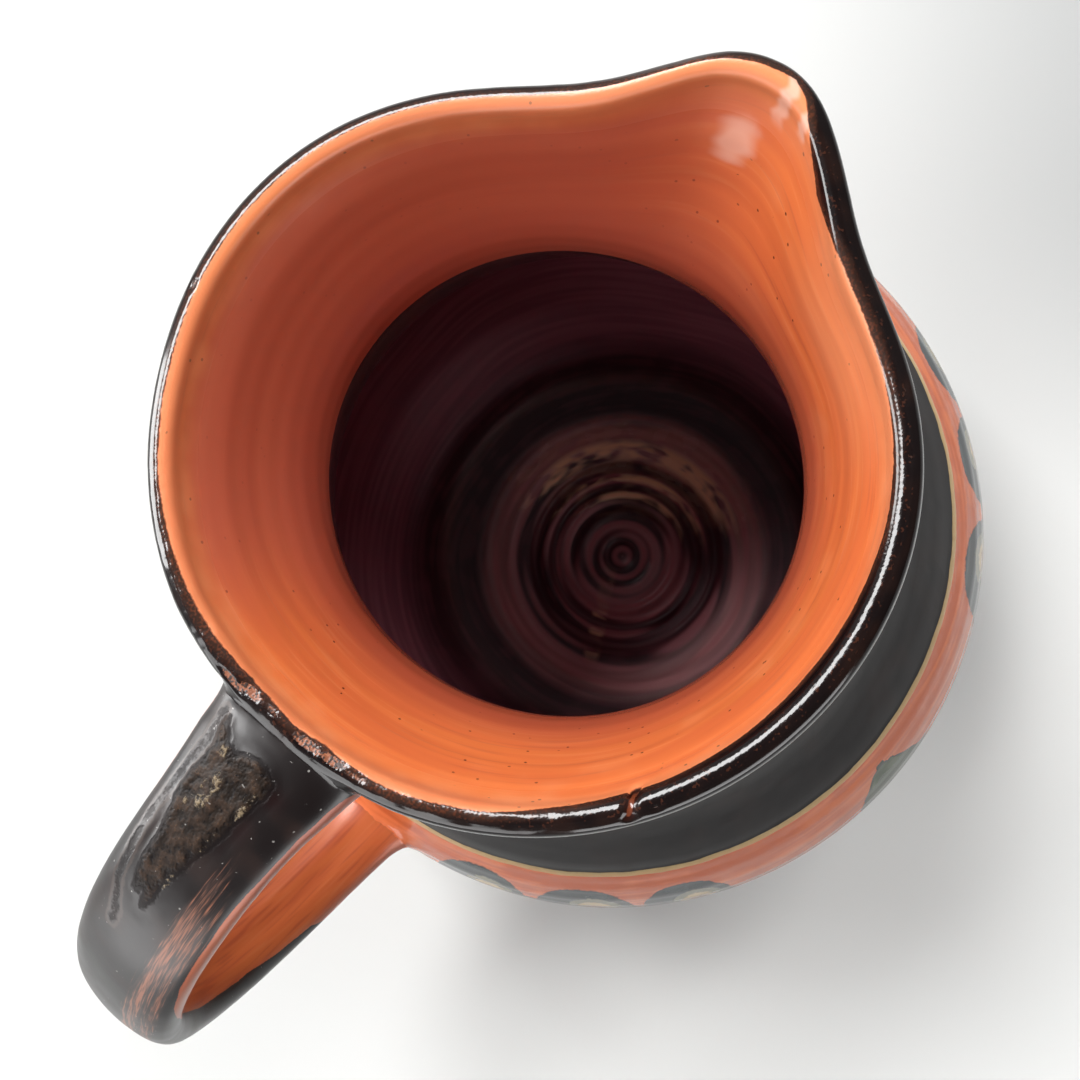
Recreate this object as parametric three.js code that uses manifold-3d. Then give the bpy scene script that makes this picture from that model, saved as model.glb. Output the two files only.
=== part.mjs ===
// Hand-thrown ceramic jug with a pinched pouring lip and a strap handle.
// Millimetres, +Z up. The origin is the centre of the underside, the pouring
// lip points along +X and the handle stands off along -X.
// Body, lip and handle are one fired piece, hollow and open at the top.

import * as THREE from 'three';
import { mergeVertices } from 'three/addons/utils/BufferGeometryUtils.js';
import Module from 'manifold-3d';

// ---- driving dimensions (mm, degrees) ----
const RIM_Z = 210;            // height of the rim crest
const RIM_R = 60.6;           // outer radius of the rim away from the lip
const RIM_BEAD_Z = 207.2;     // height where the rounded rim is widest
const RIM_WALL = 5.0;         // thickness of the rim
const NECK_R = 50.4;          // outer radius at the waist of the neck
const NECK_Z = 174;           // height of that waist
const LINE_R = 82.2;          // outer radius at the painted shoulder line
const LINE_Z = 104;           // height of the painted shoulder line
const BELLY_R = 94.2;         // largest outer radius
const BELLY_Z = 72;           // height of the largest radius
const BELLY_DROP = 86;        // half height of the ellipse below the belly
const BELLY_RISE = (LINE_Z - BELLY_Z) / Math.sqrt(1 - (LINE_R / BELLY_R) ** 2); // and above it
const FOOT_R = 50.4;          // radius of the flat underside
const FOOT_EDGE = 1.6;        // rounding at the foot
const WALL = 6;               // wall thickness of the body
const FLOOR_T = 7;            // thickness of the floor
const FLOOR_R = 40;           // radius of the flat inner floor

const SPOUT_ANGLE = 3.45;     // the lip is pulled a little off the handle's line
const SPOUT_REACH = 15.7;     // how far the lip is pulled outwards
const SPOUT_SPREAD = 18.9;    // angular half width of the pull
const PINCH = 8.7;            // how far the rim is pushed in beside the lip
const PINCH_SKEW = 1.98;      // more on one side than on the other
const PINCH_SKEW_SPREAD = 14;
const PINCH_SPREAD = 45.3;    // angular half width of the push
const SPOUT_LIFT = 6;         // rise of the rim at the lip
const SPOUT_LIFT_SPREAD = 24;
const THROAT_OVAL = 0.025;    // the throat is narrower along the lip's line

const HANDLE_ROOT_R = 56;     // start of the handle's centreline, inside the rim wall
const HANDLE_TOP_Z = 204.4;   // highest point of the centreline
const HANDLE_OUT = 127.6;     // farthest reach of the centreline
const HANDLE_OUT_Z = 147;     // height of that reach
const HANDLE_FOOT_R = 84;     // end of the centreline, inside the belly wall
const HANDLE_FOOT_Z = 88;
const HANDLE_W = 23.2;        // strap width
const HANDLE_BOW = 0.9;       // the strap leans a little to one side at its reach
const HANDLE_T = 9.4;         // strap thickness

const AROUND = 60;            // facets round the body
const STRAP_SIDES = 16;       // facets round the strap
const STRAP_STEPS = 28;       // sections along the strap

const rad = THREE.MathUtils.degToRad;
const V2 = (x, y) => new THREE.Vector2(x, y);

// ---- profiles of the body: x is the radius, y is the height ----
const belly = z => BELLY_R * Math.sqrt(1 - ((BELLY_Z - z) / (z < BELLY_Z ? BELLY_DROP : BELLY_RISE)) ** 2);

// from the shoulder line over the waist of the neck to the rim
const upper = [
  [LINE_R, LINE_Z],
  [LINE_R - 14.8, LINE_Z + 20],
  [NECK_R + 6.2, NECK_Z - 29],
  [NECK_R + 1.4, NECK_Z - 14],
  [NECK_R, NECK_Z],
  [NECK_R + 2.4, RIM_BEAD_Z - 20],
  [NECK_R + 5.6, RIM_BEAD_Z - 10.5],
  [RIM_R - 1.7, RIM_BEAD_Z - 4.6],
];

function outerProfile() {
  const body = [];
  for (let i = 0; i <= 14; i++) {
    const z = FOOT_EDGE + (LINE_Z - FOOT_EDGE) * (i / 14) ** 0.95;
    body.push(V2(belly(z), z));
  }
  const neck = new THREE.SplineCurve([V2(belly(LINE_Z - 8), LINE_Z - 8), ...upper.map(([r, z]) => V2(r, z)), V2(RIM_R, RIM_BEAD_Z)])
    .getSpacedPoints(17).filter(p => p.y > LINE_Z + 3);
  return [V2(0, 0), V2(FOOT_R, 0), ...body, ...neck];
}

function crest() {
  const pts = [];
  const cx = RIM_R - RIM_WALL / 2;
  for (let i = 1; i < 6; i++) {
    const a = Math.PI * i / 6;
    pts.push(V2(cx + RIM_WALL / 2 * Math.cos(a), RIM_BEAD_Z + (RIM_Z - RIM_BEAD_Z) * Math.sin(a)));
  }
  return pts;
}

function innerProfile() {
  const neck = new THREE.SplineCurve([
    V2(RIM_R - RIM_WALL, RIM_BEAD_Z),
    V2(RIM_R - RIM_WALL - 2.6, RIM_BEAD_Z - 5.6),
    V2(NECK_R - 1.4, RIM_BEAD_Z - 16),
    V2(NECK_R - WALL, NECK_Z + 2),
    V2(NECK_R - WALL + 1.6, NECK_Z - 16),
    V2(NECK_R - WALL + 6.6, NECK_Z - 31.5),
    V2(LINE_R - 14.8 - WALL + 0.9, LINE_Z + 16.6),
    V2(LINE_R - WALL + 1, LINE_Z - 3.6),
    V2(belly(LINE_Z - 12) - WALL + 0.6, LINE_Z - 15),
  ]).getSpacedPoints(17);
  const low = [];
  for (let i = 1; i <= 9; i++) {
    const t = i / 9;
    const z = LINE_Z - 15 - (LINE_Z - 15 - FLOOR_T - 5) * t ** 1.02;
    low.push(V2(belly(z) - WALL - 2.4 * t ** 3, z));
  }
  const bend = [V2(belly(FLOOR_T + 2.2) - WALL - 6.2, FLOOR_T + 2.2), V2(FLOOR_R + 4, FLOOR_T + 0.6)];
  return [...neck, ...low, ...bend, V2(FLOOR_R, FLOOR_T), V2(0, FLOOR_T)];
}

// ---- the hand-pulled rim, lip and throat ----
function rimShift(a) {
  const t = THREE.MathUtils.radToDeg(Math.atan2(Math.sin(a - rad(SPOUT_ANGLE)), Math.cos(a - rad(SPOUT_ANGLE))));
  const pinch = PINCH + PINCH_SKEW * Math.tanh(t / PINCH_SKEW_SPREAD);
  return {
    out: SPOUT_REACH * Math.exp(-((t / SPOUT_SPREAD) ** 2)) - pinch * Math.exp(-((t / PINCH_SPREAD) ** 2)),
    up: SPOUT_LIFT * Math.exp(-((t / SPOUT_LIFT_SPREAD) ** 2)),
  };
}

function shape(r, a, z) {
  const t = THREE.MathUtils.clamp((z - (NECK_Z - 4)) / (RIM_BEAD_Z - (NECK_Z - 4)), 0, 1);
  const s = rimShift(a);
  const oval = Math.exp(-(((z - NECK_Z) / 20) ** 2));
  const rr = r * (1 - THROAT_OVAL * oval * Math.cos(2 * (a - rad(SPOUT_ANGLE)))) + (r > 5 ? s.out * t ** 1.35 : 0);
  return [rr * Math.cos(a), rr * Math.sin(a), z + s.up * t ** 2 * Math.min(1, r / 30)];
}

function revolve(profile) {
  const g = new THREE.LatheGeometry(profile, AROUND);
  const p = g.attributes.position;
  for (let i = 0; i < p.count; i++) {
    const r = Math.hypot(p.getX(i), p.getZ(i));
    const a = r > 1e-6 ? Math.atan2(-p.getZ(i), p.getX(i)) : 0;
    p.setXYZ(i, ...shape(r, a, p.getY(i)));
  }
  return g;
}

// ---- the strap handle, lofted along its centreline in the XZ plane ----
function handleGeometry() {
  const line = new THREE.CatmullRomCurve3([
    [HANDLE_ROOT_R - 6, HANDLE_TOP_Z - 3.4],
    [HANDLE_ROOT_R + 11, HANDLE_TOP_Z],
    [HANDLE_OUT * 0.64, HANDLE_TOP_Z - 0.6],
    [HANDLE_OUT * 0.785, HANDLE_TOP_Z - 7.4],
    [HANDLE_OUT * 0.915, HANDLE_OUT_Z + 34],
    [HANDLE_OUT, HANDLE_OUT_Z + 11.5],
    [HANDLE_OUT, HANDLE_OUT_Z - 11.5],
    [HANDLE_OUT * 0.93, HANDLE_OUT_Z - 32],
    [HANDLE_OUT * 0.815, HANDLE_FOOT_Z + 11.4],
    [HANDLE_FOOT_R, HANDLE_FOOT_Z],
    [HANDLE_FOOT_R - 7, HANDLE_FOOT_Z - 3.4],
  ].map(([r, z]) => new THREE.Vector3(-r, 0, z)), false, 'centripetal');
  const pos = [];
  const idx = [];
  const flare = (s, at, width) => Math.exp(-(((s - at) / width) ** 2));
  for (let i = 0; i <= STRAP_STEPS; i++) {
    const s = i / STRAP_STEPS;
    const c = line.getPointAt(s);
    const d = line.getTangentAt(s);
    const n = new THREE.Vector3(d.z, 0, -d.x);
    const w = HANDLE_W - 1.8 * THREE.MathUtils.smoothstep(s, 0.3, 0.6) + 8 * flare(s, 0, 0.09) + 5 * flare(s, 1, 0.1);
    const h = HANDLE_T + 2.6 * flare(s, 0, 0.08) + 3 * flare(s, 1, 0.1);
    for (let k = 0; k < STRAP_SIDES; k++) {
      const a = 2 * Math.PI * k / STRAP_SIDES;
      const cu = Math.sign(Math.cos(a)) * Math.abs(Math.cos(a)) ** 0.86;
      const sv = Math.sign(Math.sin(a)) * Math.abs(Math.sin(a)) ** 0.86;
      pos.push(c.x + n.x * sv * h / 2, cu * w / 2 + HANDLE_BOW * Math.sin(Math.PI * s), c.z + n.z * sv * h / 2);
    }
  }
  for (let i = 0; i < STRAP_STEPS; i++) {
    for (let k = 0; k < STRAP_SIDES; k++) {
      const a = i * STRAP_SIDES + k;
      const b = i * STRAP_SIDES + (k + 1) % STRAP_SIDES;
      idx.push(a, a + STRAP_SIDES, b, b, a + STRAP_SIDES, b + STRAP_SIDES);
    }
  }
  for (const [i, flip] of [[0, false], [STRAP_STEPS, true]]) {
    for (let k = 1; k < STRAP_SIDES - 1; k++) {
      const t = [i * STRAP_SIDES, i * STRAP_SIDES + k, i * STRAP_SIDES + k + 1];
      idx.push(...(flip ? [t[0], t[2], t[1]] : t));
    }
  }
  const g = new THREE.BufferGeometry();
  g.setAttribute('position', new THREE.Float32BufferAttribute(pos, 3));
  g.setIndex(idx);
  return g;
}

// ---- joining ----
const wasm = await Module();
wasm.setup();

function solid(geometry) {
  const g = geometry.clone();
  for (const name of Object.keys(g.attributes)) if (name !== 'position') g.deleteAttribute(name);
  const m = mergeVertices(g, 1e-4);
  const p = m.attributes.position;
  const tri = [];
  for (let i = 0; i < m.index.count; i += 3) {
    const [a, b, c] = [0, 1, 2].map(k => m.index.getX(i + k));
    if (a !== b && b !== c && a !== c) tri.push(a, b, c);
  }
  let vol = 0;
  const v = [0, 1, 2].map(() => new THREE.Vector3());
  for (let i = 0; i < tri.length; i += 3) {
    for (let k = 0; k < 3; k++) v[k].fromBufferAttribute(p, tri[i + k]);
    vol += v[0].dot(v[1].clone().cross(v[2]));
  }
  if (vol < 0) for (let i = 0; i < tri.length; i += 3) [tri[i + 1], tri[i + 2]] = [tri[i + 2], tri[i + 1]];
  return new wasm.Manifold(new wasm.Mesh({
    numProp: 3,
    vertProperties: new Float32Array(p.array),
    triVerts: new Uint32Array(tri),
  }));
}

function toGeometry(manifold) {
  const m = manifold.getMesh();
  const g = new THREE.BufferGeometry();
  g.setAttribute('position', new THREE.BufferAttribute(new Float32Array(m.vertProperties), 3));
  g.setIndex(new THREE.BufferAttribute(new Uint32Array(m.triVerts), 1));
  g.computeVertexNormals();
  return g;
}

// the hollow body, from the centre of the underside over the rim to the inner floor
const wall = solid(revolve([...outerProfile(), ...crest(), ...innerProfile()]));

// everything inside the middle of the wall, to trim the handle's two roots
const core = solid(revolve([
  V2(0, 20),
  V2(belly(24) - WALL / 2, 24),
  V2(belly(48) - WALL / 2, 48),
  V2(BELLY_R - WALL / 2, BELLY_Z),
  V2(belly(BELLY_Z + 17) - WALL / 2, BELLY_Z + 17),
  ...upper.slice(0, 5).map(([r, z]) => V2(r - WALL / 2, z)),
  V2(NECK_R + 5.6 - WALL / 2, RIM_BEAD_Z - 10.5),
  V2(RIM_R - RIM_WALL / 2, RIM_BEAD_Z),
  V2(RIM_R - RIM_WALL / 2, RIM_Z + 12),
  V2(0, RIM_Z + 12),
]));

const jugShape = wall.add(solid(handleGeometry()).subtract(core));

const jug = new THREE.Mesh(
  toGeometry(jugShape),
  new THREE.MeshStandardMaterial({ color: 0xd0693a, roughness: 0.22, metalness: 0 }),
);
jug.name = 'jug';

const group = new THREE.Group();
group.add(jug);

export default group;
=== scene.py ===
"""Hand-thrown ceramic jug with a pinched lip and a strap handle: the visual model.

Built in mm from the jug's driving sizes, then scaled to metres. One closed glazed piece.
"""
import math

import bmesh
import bpy
import numpy as np
from mathutils import Matrix, Vector
from mathutils.kdtree import KDTree


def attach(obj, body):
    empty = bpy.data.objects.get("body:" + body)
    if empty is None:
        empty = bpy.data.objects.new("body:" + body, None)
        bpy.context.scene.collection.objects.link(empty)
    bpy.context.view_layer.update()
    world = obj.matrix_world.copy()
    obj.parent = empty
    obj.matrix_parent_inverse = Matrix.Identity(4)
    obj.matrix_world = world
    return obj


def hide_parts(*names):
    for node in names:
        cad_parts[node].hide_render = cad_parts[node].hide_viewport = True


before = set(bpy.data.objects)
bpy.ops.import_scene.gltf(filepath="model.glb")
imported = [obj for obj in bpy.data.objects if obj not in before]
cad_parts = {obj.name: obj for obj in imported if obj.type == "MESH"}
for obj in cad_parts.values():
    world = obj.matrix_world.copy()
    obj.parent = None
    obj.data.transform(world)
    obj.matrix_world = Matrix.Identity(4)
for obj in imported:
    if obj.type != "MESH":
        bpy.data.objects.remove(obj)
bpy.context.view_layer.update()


# ---- driving sizes of the jug, in mm, as the frame has them ----
RIM_Z, RIM_R, RIM_BEAD_Z, RIM_WALL = 210.0, 60.6, 207.2, 5.0
NECK_R, NECK_Z = 50.4, 174.0
LINE_R, LINE_Z = 82.2, 104.0
BELLY_R, BELLY_Z, BELLY_DROP = 94.2, 72.0, 86.0
BELLY_RISE = (LINE_Z - BELLY_Z) / math.sqrt(1 - (LINE_R / BELLY_R) ** 2)
FOOT_R, FOOT_EDGE = 50.4, 1.6
WALL, FLOOR_T, FLOOR_R = 6.0, 7.0, 40.0
SPOUT_ANGLE, SPOUT_REACH, SPOUT_SPREAD = 3.45, 15.7, 18.9
PINCH, PINCH_SKEW, PINCH_SKEW_SPREAD, PINCH_SPREAD = 8.7, 1.98, 14.0, 45.3
SPOUT_LIFT, SPOUT_LIFT_SPREAD, THROAT_OVAL = 6.0, 24.0, 0.025
HANDLE_ROOT_R, HANDLE_TOP_Z = 56.0, 204.4
HANDLE_OUT, HANDLE_OUT_Z = 127.6, 147.0
HANDLE_FOOT_R, HANDLE_FOOT_Z = 84.0, 88.0
HANDLE_W, HANDLE_BOW, HANDLE_T = 23.2, 0.9, 9.4

TAU = 2 * math.pi


def bell(x, at, width):
    return np.exp(-(((x - at) / width) ** 2))


def smooth(x, a, b):
    t = np.clip((x - a) / (b - a), 0, 1)
    return t * t * (3 - 2 * t)


def wrap(deg):
    return (deg + 180.0) % 360.0 - 180.0


# ---- repeatable soft noise on a lattice, for the hand-made unevenness ----
def _hash(ix, iy, iz, seed):
    h = (ix * 374761393 + iy * 668265263 + iz * 2147483647 + seed * 1442695041) & 0xFFFFFFFF
    h = ((h ^ (h >> 13)) * 1274126177) & 0xFFFFFFFF
    h = ((h ^ (h >> 16)) * 2246822519) & 0xFFFFFFFF
    return ((h ^ (h >> 15)) & 0xFFFFFF) / float(0xFFFFFF)


def noise(x, y, z, seed=0):
    """Value noise, -1 to 1, one lump per unit."""
    x, y, z = (np.asarray(v, float) for v in (x, y, z))
    x, y, z = np.broadcast_arrays(x, y, z)
    i = [np.floor(v).astype(np.int64) for v in (x, y, z)]
    f = [v - k for v, k in zip((x, y, z), i)]
    f = [v * v * v * (v * (v * 6 - 15) + 10) for v in f]
    out = np.zeros(x.shape)
    for dx in (0, 1):
        for dy in (0, 1):
            for dz in (0, 1):
                w = (f[0] if dx else 1 - f[0]) * (f[1] if dy else 1 - f[1]) * (f[2] if dz else 1 - f[2])
                out += w * _hash(i[0] + dx, i[1] + dy, i[2] + dz, seed)
    return out * 2 - 1


def fractal(x, y, z, seed=0, octaves=3):
    out, amp, total = 0, 1.0, 0.0
    for k in range(octaves):
        out = out + amp * noise(x * 2 ** k + 3.1 * k, y * 2 ** k + 1.7 * k, z * 2 ** k + 5.3 * k, seed + k)
        total += amp
        amp *= 0.5
    return out / total


# ---- curves ----
def cubic(points, step=0.25):
    """A natural cubic through the points, by chord length: a dense polyline."""
    p = np.array(points, float)
    h = np.linalg.norm(np.diff(p, axis=0), axis=1)
    t = np.concatenate([[0], np.cumsum(h)])
    n = len(p)
    a = np.zeros((n, n))
    b = np.zeros((n, p.shape[1]))
    a[0, 0] = a[-1, -1] = 1
    for i in range(1, n - 1):
        a[i, i - 1], a[i, i], a[i, i + 1] = h[i - 1], 2 * (h[i - 1] + h[i]), h[i]
        b[i] = 6 * ((p[i + 1] - p[i]) / h[i] - (p[i] - p[i - 1]) / h[i - 1])
    m = np.linalg.solve(a, b)
    u = np.arange(0, t[-1], step)
    u = np.append(u, t[-1])
    k = np.clip(np.searchsorted(t, u, side="right") - 1, 0, n - 2)
    d = (u - t[k])[:, None]
    hk = h[k][:, None]
    e = hk - d
    return (m[k] * e ** 3 + m[k + 1] * d ** 3) / (6 * hk) + (p[k] / hk - m[k] * hk / 6) * e + (p[k + 1] / hk - m[k + 1] * hk / 6) * d


def along(poly):
    return np.concatenate([[0], np.cumsum(np.linalg.norm(np.diff(poly, axis=0), axis=1))])


def belly(z):
    z = np.asarray(z, float)
    h = np.where(z < BELLY_Z, BELLY_DROP, BELLY_RISE)
    return BELLY_R * np.sqrt(np.clip(1 - ((BELLY_Z - z) / h) ** 2, 0, 1))


UPPER = [
    (LINE_R, LINE_Z), (LINE_R - 14.8, LINE_Z + 20), (NECK_R + 6.2, NECK_Z - 29), (NECK_R + 1.4, NECK_Z - 14),
    (NECK_R, NECK_Z), (NECK_R + 2.4, RIM_BEAD_Z - 20), (NECK_R + 5.6, RIM_BEAD_Z - 10.5), (RIM_R - 1.7, RIM_BEAD_Z - 4.6),
]


def wall_profile():
    """(r, z) from the foot's edge over the rim's crest to the middle of the inner floor, and where the crest is."""
    out = [(float(belly(z)), z) for z in (FOOT_EDGE, 6, 12, 20, 30, 42, 56, 70, 82, 93)] + UPPER
    mid = RIM_R - RIM_WALL / 2
    crest = [(mid + RIM_WALL / 2 * math.cos(math.radians(a)), RIM_BEAD_Z + (RIM_Z - RIM_BEAD_Z) * math.sin(math.radians(a)))
             for a in (0, 45, 90, 135, 180)]
    inner = [
        (RIM_R - RIM_WALL - 2.6, RIM_BEAD_Z - 5.6), (NECK_R - 1.4, RIM_BEAD_Z - 16), (NECK_R - WALL, NECK_Z + 2),
        (NECK_R - WALL + 1.6, NECK_Z - 16), (NECK_R - WALL + 6.6, NECK_Z - 31.5), (LINE_R - 14.8 - WALL + 0.9, LINE_Z + 16.6),
        (LINE_R - WALL + 1, LINE_Z - 3.6),
    ]
    low = []
    for t in (0, 0.16, 0.34, 0.52, 0.7, 0.86, 1):
        z = LINE_Z - 15 - (LINE_Z - 15 - FLOOR_T - 5) * t
        low.append((float(belly(z)) - WALL - 2.4 * t ** 3, z))
    bend = [(float(belly(FLOOR_T + 2.2)) - WALL - 6.2, FLOOR_T + 2.2), (FLOOR_R + 4, FLOOR_T + 0.6), (FLOOR_R, FLOOR_T)]
    floor = [(r, FLOOR_T) for r in (30, 20, 10, 0)]
    poly = cubic(out + crest + inner + low + bend + floor, 0.2)
    poly[-1, 0] = 0
    s = along(poly)
    top = int(np.argmax(poly[:, 1]))
    return poly, s[top] - s  # + outside, - inside


PROFILE, PROFILE_S = wall_profile()
S_FOOT = float(PROFILE_S[0])
_o = PROFILE_S >= 0
OUT_Z, OUT_S, OUT_R = PROFILE[_o, 1], PROFILE_S[_o], PROFILE[_o, 0]      # z rises, s falls
_i = PROFILE_S <= 0
IN_Z, IN_S, IN_R = PROFILE[_i, 1], PROFILE_S[_i], PROFILE[_i, 0]


def out_s(z):
    return np.interp(z, OUT_Z, OUT_S)


def in_s(z):
    """s on the inner wall at a height, down to just above the floor."""
    return np.interp(z, IN_Z[::-1], IN_S[::-1])


def at_s(s):
    """(r, z) on the profile at s."""
    return np.interp(s, PROFILE_S[::-1], PROFILE[::-1, 0]), np.interp(s, PROFILE_S[::-1], PROFILE[::-1, 1])


# ---- the pulled lip, the pinch beside it and the oval throat ----
RIM_OUT = [(-8, -0.3), (4, -0.2), (10, 0.3), (16, 0.25), (22, 0.64), (28, 1.0), (34, 1.07), (40, 0.84), (46, 0.56), (52, 0.46),
           (58, 0.4), (64, 0.49), (70, 0.65), (76, 0.81), (82, 0.92), (88, 0.98), (100, 0.96), (106, 0.87), (112, 0.77), (118, 0.72),
           (124, 0.77), (130, 0.87), (142, 0.92), (148, 0.93), (154, 0.87), (160, 0.5), (166, 0.3), (174, 0.0)]
RIM_OUT = [(-16, 0.0)] + RIM_OUT


def rim_shift(a):
    t = wrap(np.degrees(a) - SPOUT_ANGLE)
    pinch = PINCH + PINCH_SKEW * np.tanh(t / PINCH_SKEW_SPREAD)
    out = SPOUT_REACH * np.exp(-((t / SPOUT_SPREAD) ** 2)) - pinch * np.exp(-((t / PINCH_SPREAD) ** 2))
    far = np.array(RIM_OUT, float)
    out = out + np.interp(wrap(np.degrees(a)), far[:, 0], far[:, 1], left=0.0, right=0.0)
    return out, SPOUT_LIFT * np.exp(-((t / SPOUT_LIFT_SPREAD) ** 2))


def shape(r, a, z):
    x = (z - (NECK_Z - 4)) / (RIM_BEAD_Z - (NECK_Z - 4))
    t = np.minimum(0.5 * (x + np.sqrt(x * x + 0.0036)), 1.0)
    out, up = rim_shift(a)
    oval = bell(z, NECK_Z, 20)
    rr = r * (1 - THROAT_OVAL * oval * np.cos(2 * (a - math.radians(SPOUT_ANGLE)))) + np.where(r > 5, out * t ** 1.35, 0)
    return np.stack([rr * np.cos(a), rr * np.sin(a), z + up * t ** 2 * np.minimum(1, r / 30)], -1)


# ---- rings of the wall ----
def ring_stations():
    """(s, number of points) down the profile from the foot's edge to just before the middle of the floor."""
    st = []

    def run(s0, s1, step, n):
        k = max(1, int(round(abs(s1 - s0) / step)))
        for i in range(k):
            st.append((s0 + (s1 - s0) * i / k, n))

    s_band0, s_band1 = float(out_s(52)), float(out_s(106))
    s_neck = -float(-in_s(165))
    s_low = float(in_s(14))
    s_floor = float(PROFILE_S[int(np.argmin(np.abs(PROFILE[:, 0] - 46) + (PROFILE[:, 1] > 12) * 999))])
    run(S_FOOT, s_band0, 3.4, 288)
    run(s_band0, s_band1, 1.55, 288)
    run(s_band1, 9.0, 3.0, 288)
    run(9.0, 6.0, 1.5, 288)
    run(6.0, -5.4, 0.46, 576)
    run(-5.4, s_neck, 1.3, 288)
    run(s_neck, s_low, 4.2, 144)
    run(s_low, s_floor, 1.6, 144)
    run(s_floor, -float(abs(PROFILE_S[-1])) + 24, 0.8, 144)
    end = float(PROFILE_S[-1])
    run(end + 24, end + 10, 0.72, 144)
    run(end + 10, end + 4, 0.8, 72)
    run(end + 4, end + 0.6, 0.85, 36)
    return st


def floor_relief(r, a):
    """Throwing rings, a ridge and a groove on the inner floor, with a whorl in the middle."""
    fade = smooth(r, 1.5, 5) * (1 - smooth(r, 43, 50))
    turn = r / 3.3 + a / TAU + 0.5 * noise(np.cos(a) * 1.3, np.sin(a) * 1.3, r / 9, 5) * 0.35
    rings = 0.10 * np.sin(TAU * turn)
    off = r + 0.5 * np.sin(a - 0.6)
    return (rings * fade + 0.9 * bell(r, 36.0, 4.4) - 0.9 * bell(off, 28.0, 1.5) + 0.55 * bell(off, 24.7, 1.3) - 0.45 * bell(off, 22.1, 1.1)
            + 0.5 * bell(off, 19.5, 1.3) - 0.4 * bell(off, 16.6, 1.2) + 0.12 * bell(off, 14.2, 1.2) - 0.15 * bell(off, 11.4, 1.3)
            + 0.7 * bell(r, 0, 3.2) - 0.28 * bell(r, 4.6, 1.4) + 0.25 * bell(off, 7.4, 1.3))


def wall_mesh():
    st = ring_stations()
    verts, faces = [], []
    s = np.array([q[0] for q in st])
    rr, zz = at_s(s)
    starts = []
    base = 0
    for k, (sk, n) in enumerate(st):
        a = -math.pi + TAU * np.arange(n) / n
        r, z = np.full(n, rr[k]), np.full(n, zz[k])
        # the potter's turns: faint ridges that climb with the azimuth
        if sk > 8:
            ridge = 0.10 * np.sin(TAU * (sk / 6.4 + a / TAU)) * smooth(sk, 8, 20) * (1 - smooth(sk, S_FOOT - 14, S_FOOT - 4))
            ridge = ridge + 0.22 * noise(np.cos(a) * 1.4, np.sin(a) * 1.4, sk / 38, 3) * smooth(sk, 6, 30)
        elif sk < -4 and z[0] > 14:
            inner = smooth(-sk, 4, 14)
            deep = smooth(-sk, 52, 80)
            ridge = inner * (0.045 + 0.2 * deep) * np.sin(TAU * (sk / (5.2 + 3.6 * 0) + a / TAU)) + 0.16 * inner * noise(np.cos(a) * 1.6, np.sin(a) * 1.6, sk / 17, 9)
        else:
            ridge = np.zeros(n)
        p = shape(r + ridge, a, z)
        if sk < 0 and zz[k] < 10.5:
            p[:, 2] += floor_relief(rr[k], a) * (1 - smooth(rr[k], 44, 53))
        if zz[k] > 196:
            w = smooth(zz[k], 196, 207)
            p[:, 2] += w * 0.35 * noise(np.cos(a) * 2.2, np.sin(a) * 2.2, 0.5, 21)
        verts.append(p)
        starts.append(base)
        base += n
    centre_in = base
    _, top_z = 0, FLOOR_T + float(floor_relief(np.array(0.0), np.array(0.0)))
    verts.append(np.array([[0, 0, top_z]]))
    base += 1
    # underside: a flat foot with a small rounded edge
    under = [(FOOT_R + 2.9, 0.62, 288), (FOOT_R + 1.2, 0.12, 288), (FOOT_R, 0.0, 144), (FOOT_R - 6, 0.0, 144), (38, 0.0, 72), (28, 0.0, 72), (18, 0.0, 36), (8, 0.0, 36)]
    ustarts = []
    for r, z, n in under:
        a = -math.pi + TAU * np.arange(n) / n
        ustarts.append(base)
        verts.append(np.stack([r * np.cos(a), r * np.sin(a), np.full(n, z)], -1))
        base += n
    centre_out = base
    verts.append(np.array([[0, 0, 0.0]]))

    def bridge(a0, na, b0, nb, flip):
        """Faces between two rings; flip turns them over."""
        def put(*f):
            faces.append(f[::-1] if flip else f)
        if na == nb:
            for j in range(na):
                k = (j + 1) % na
                put(a0 + j, a0 + k, b0 + k, b0 + j)
        elif na == 2 * nb:
            for j in range(nb):
                k = (j + 1) % nb
                put(a0 + 2 * j, a0 + 2 * j + 1, b0 + j)
                put(a0 + 2 * j + 1, b0 + k, b0 + j)
                put(a0 + 2 * j + 1, a0 + (2 * j + 2) % na, b0 + k)
        else:
            for j in range(na):
                k = (j + 1) % na
                put(a0 + j, b0 + 2 * j + 1, b0 + 2 * j)
                put(a0 + j, a0 + k, b0 + 2 * j + 1)
                put(a0 + k, b0 + (2 * j + 2) % nb, b0 + 2 * j + 1)

    for k in range(len(st) - 1):
        bridge(starts[k], st[k][1], starts[k + 1], st[k + 1][1], False)
    n = st[-1][1]
    for j in range(n):
        faces.append((starts[-1] + j, starts[-1] + (j + 1) % n, centre_in))
    prev, pn = starts[0], st[0][1]
    for u0, (_, _, un) in zip(ustarts, under):
        bridge(prev, pn, u0, un, True)
        prev, pn = u0, un
    for j in range(pn):
        faces.append((prev + (j + 1) % pn, prev + j, centre_out))
    return np.concatenate(verts), faces


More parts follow.
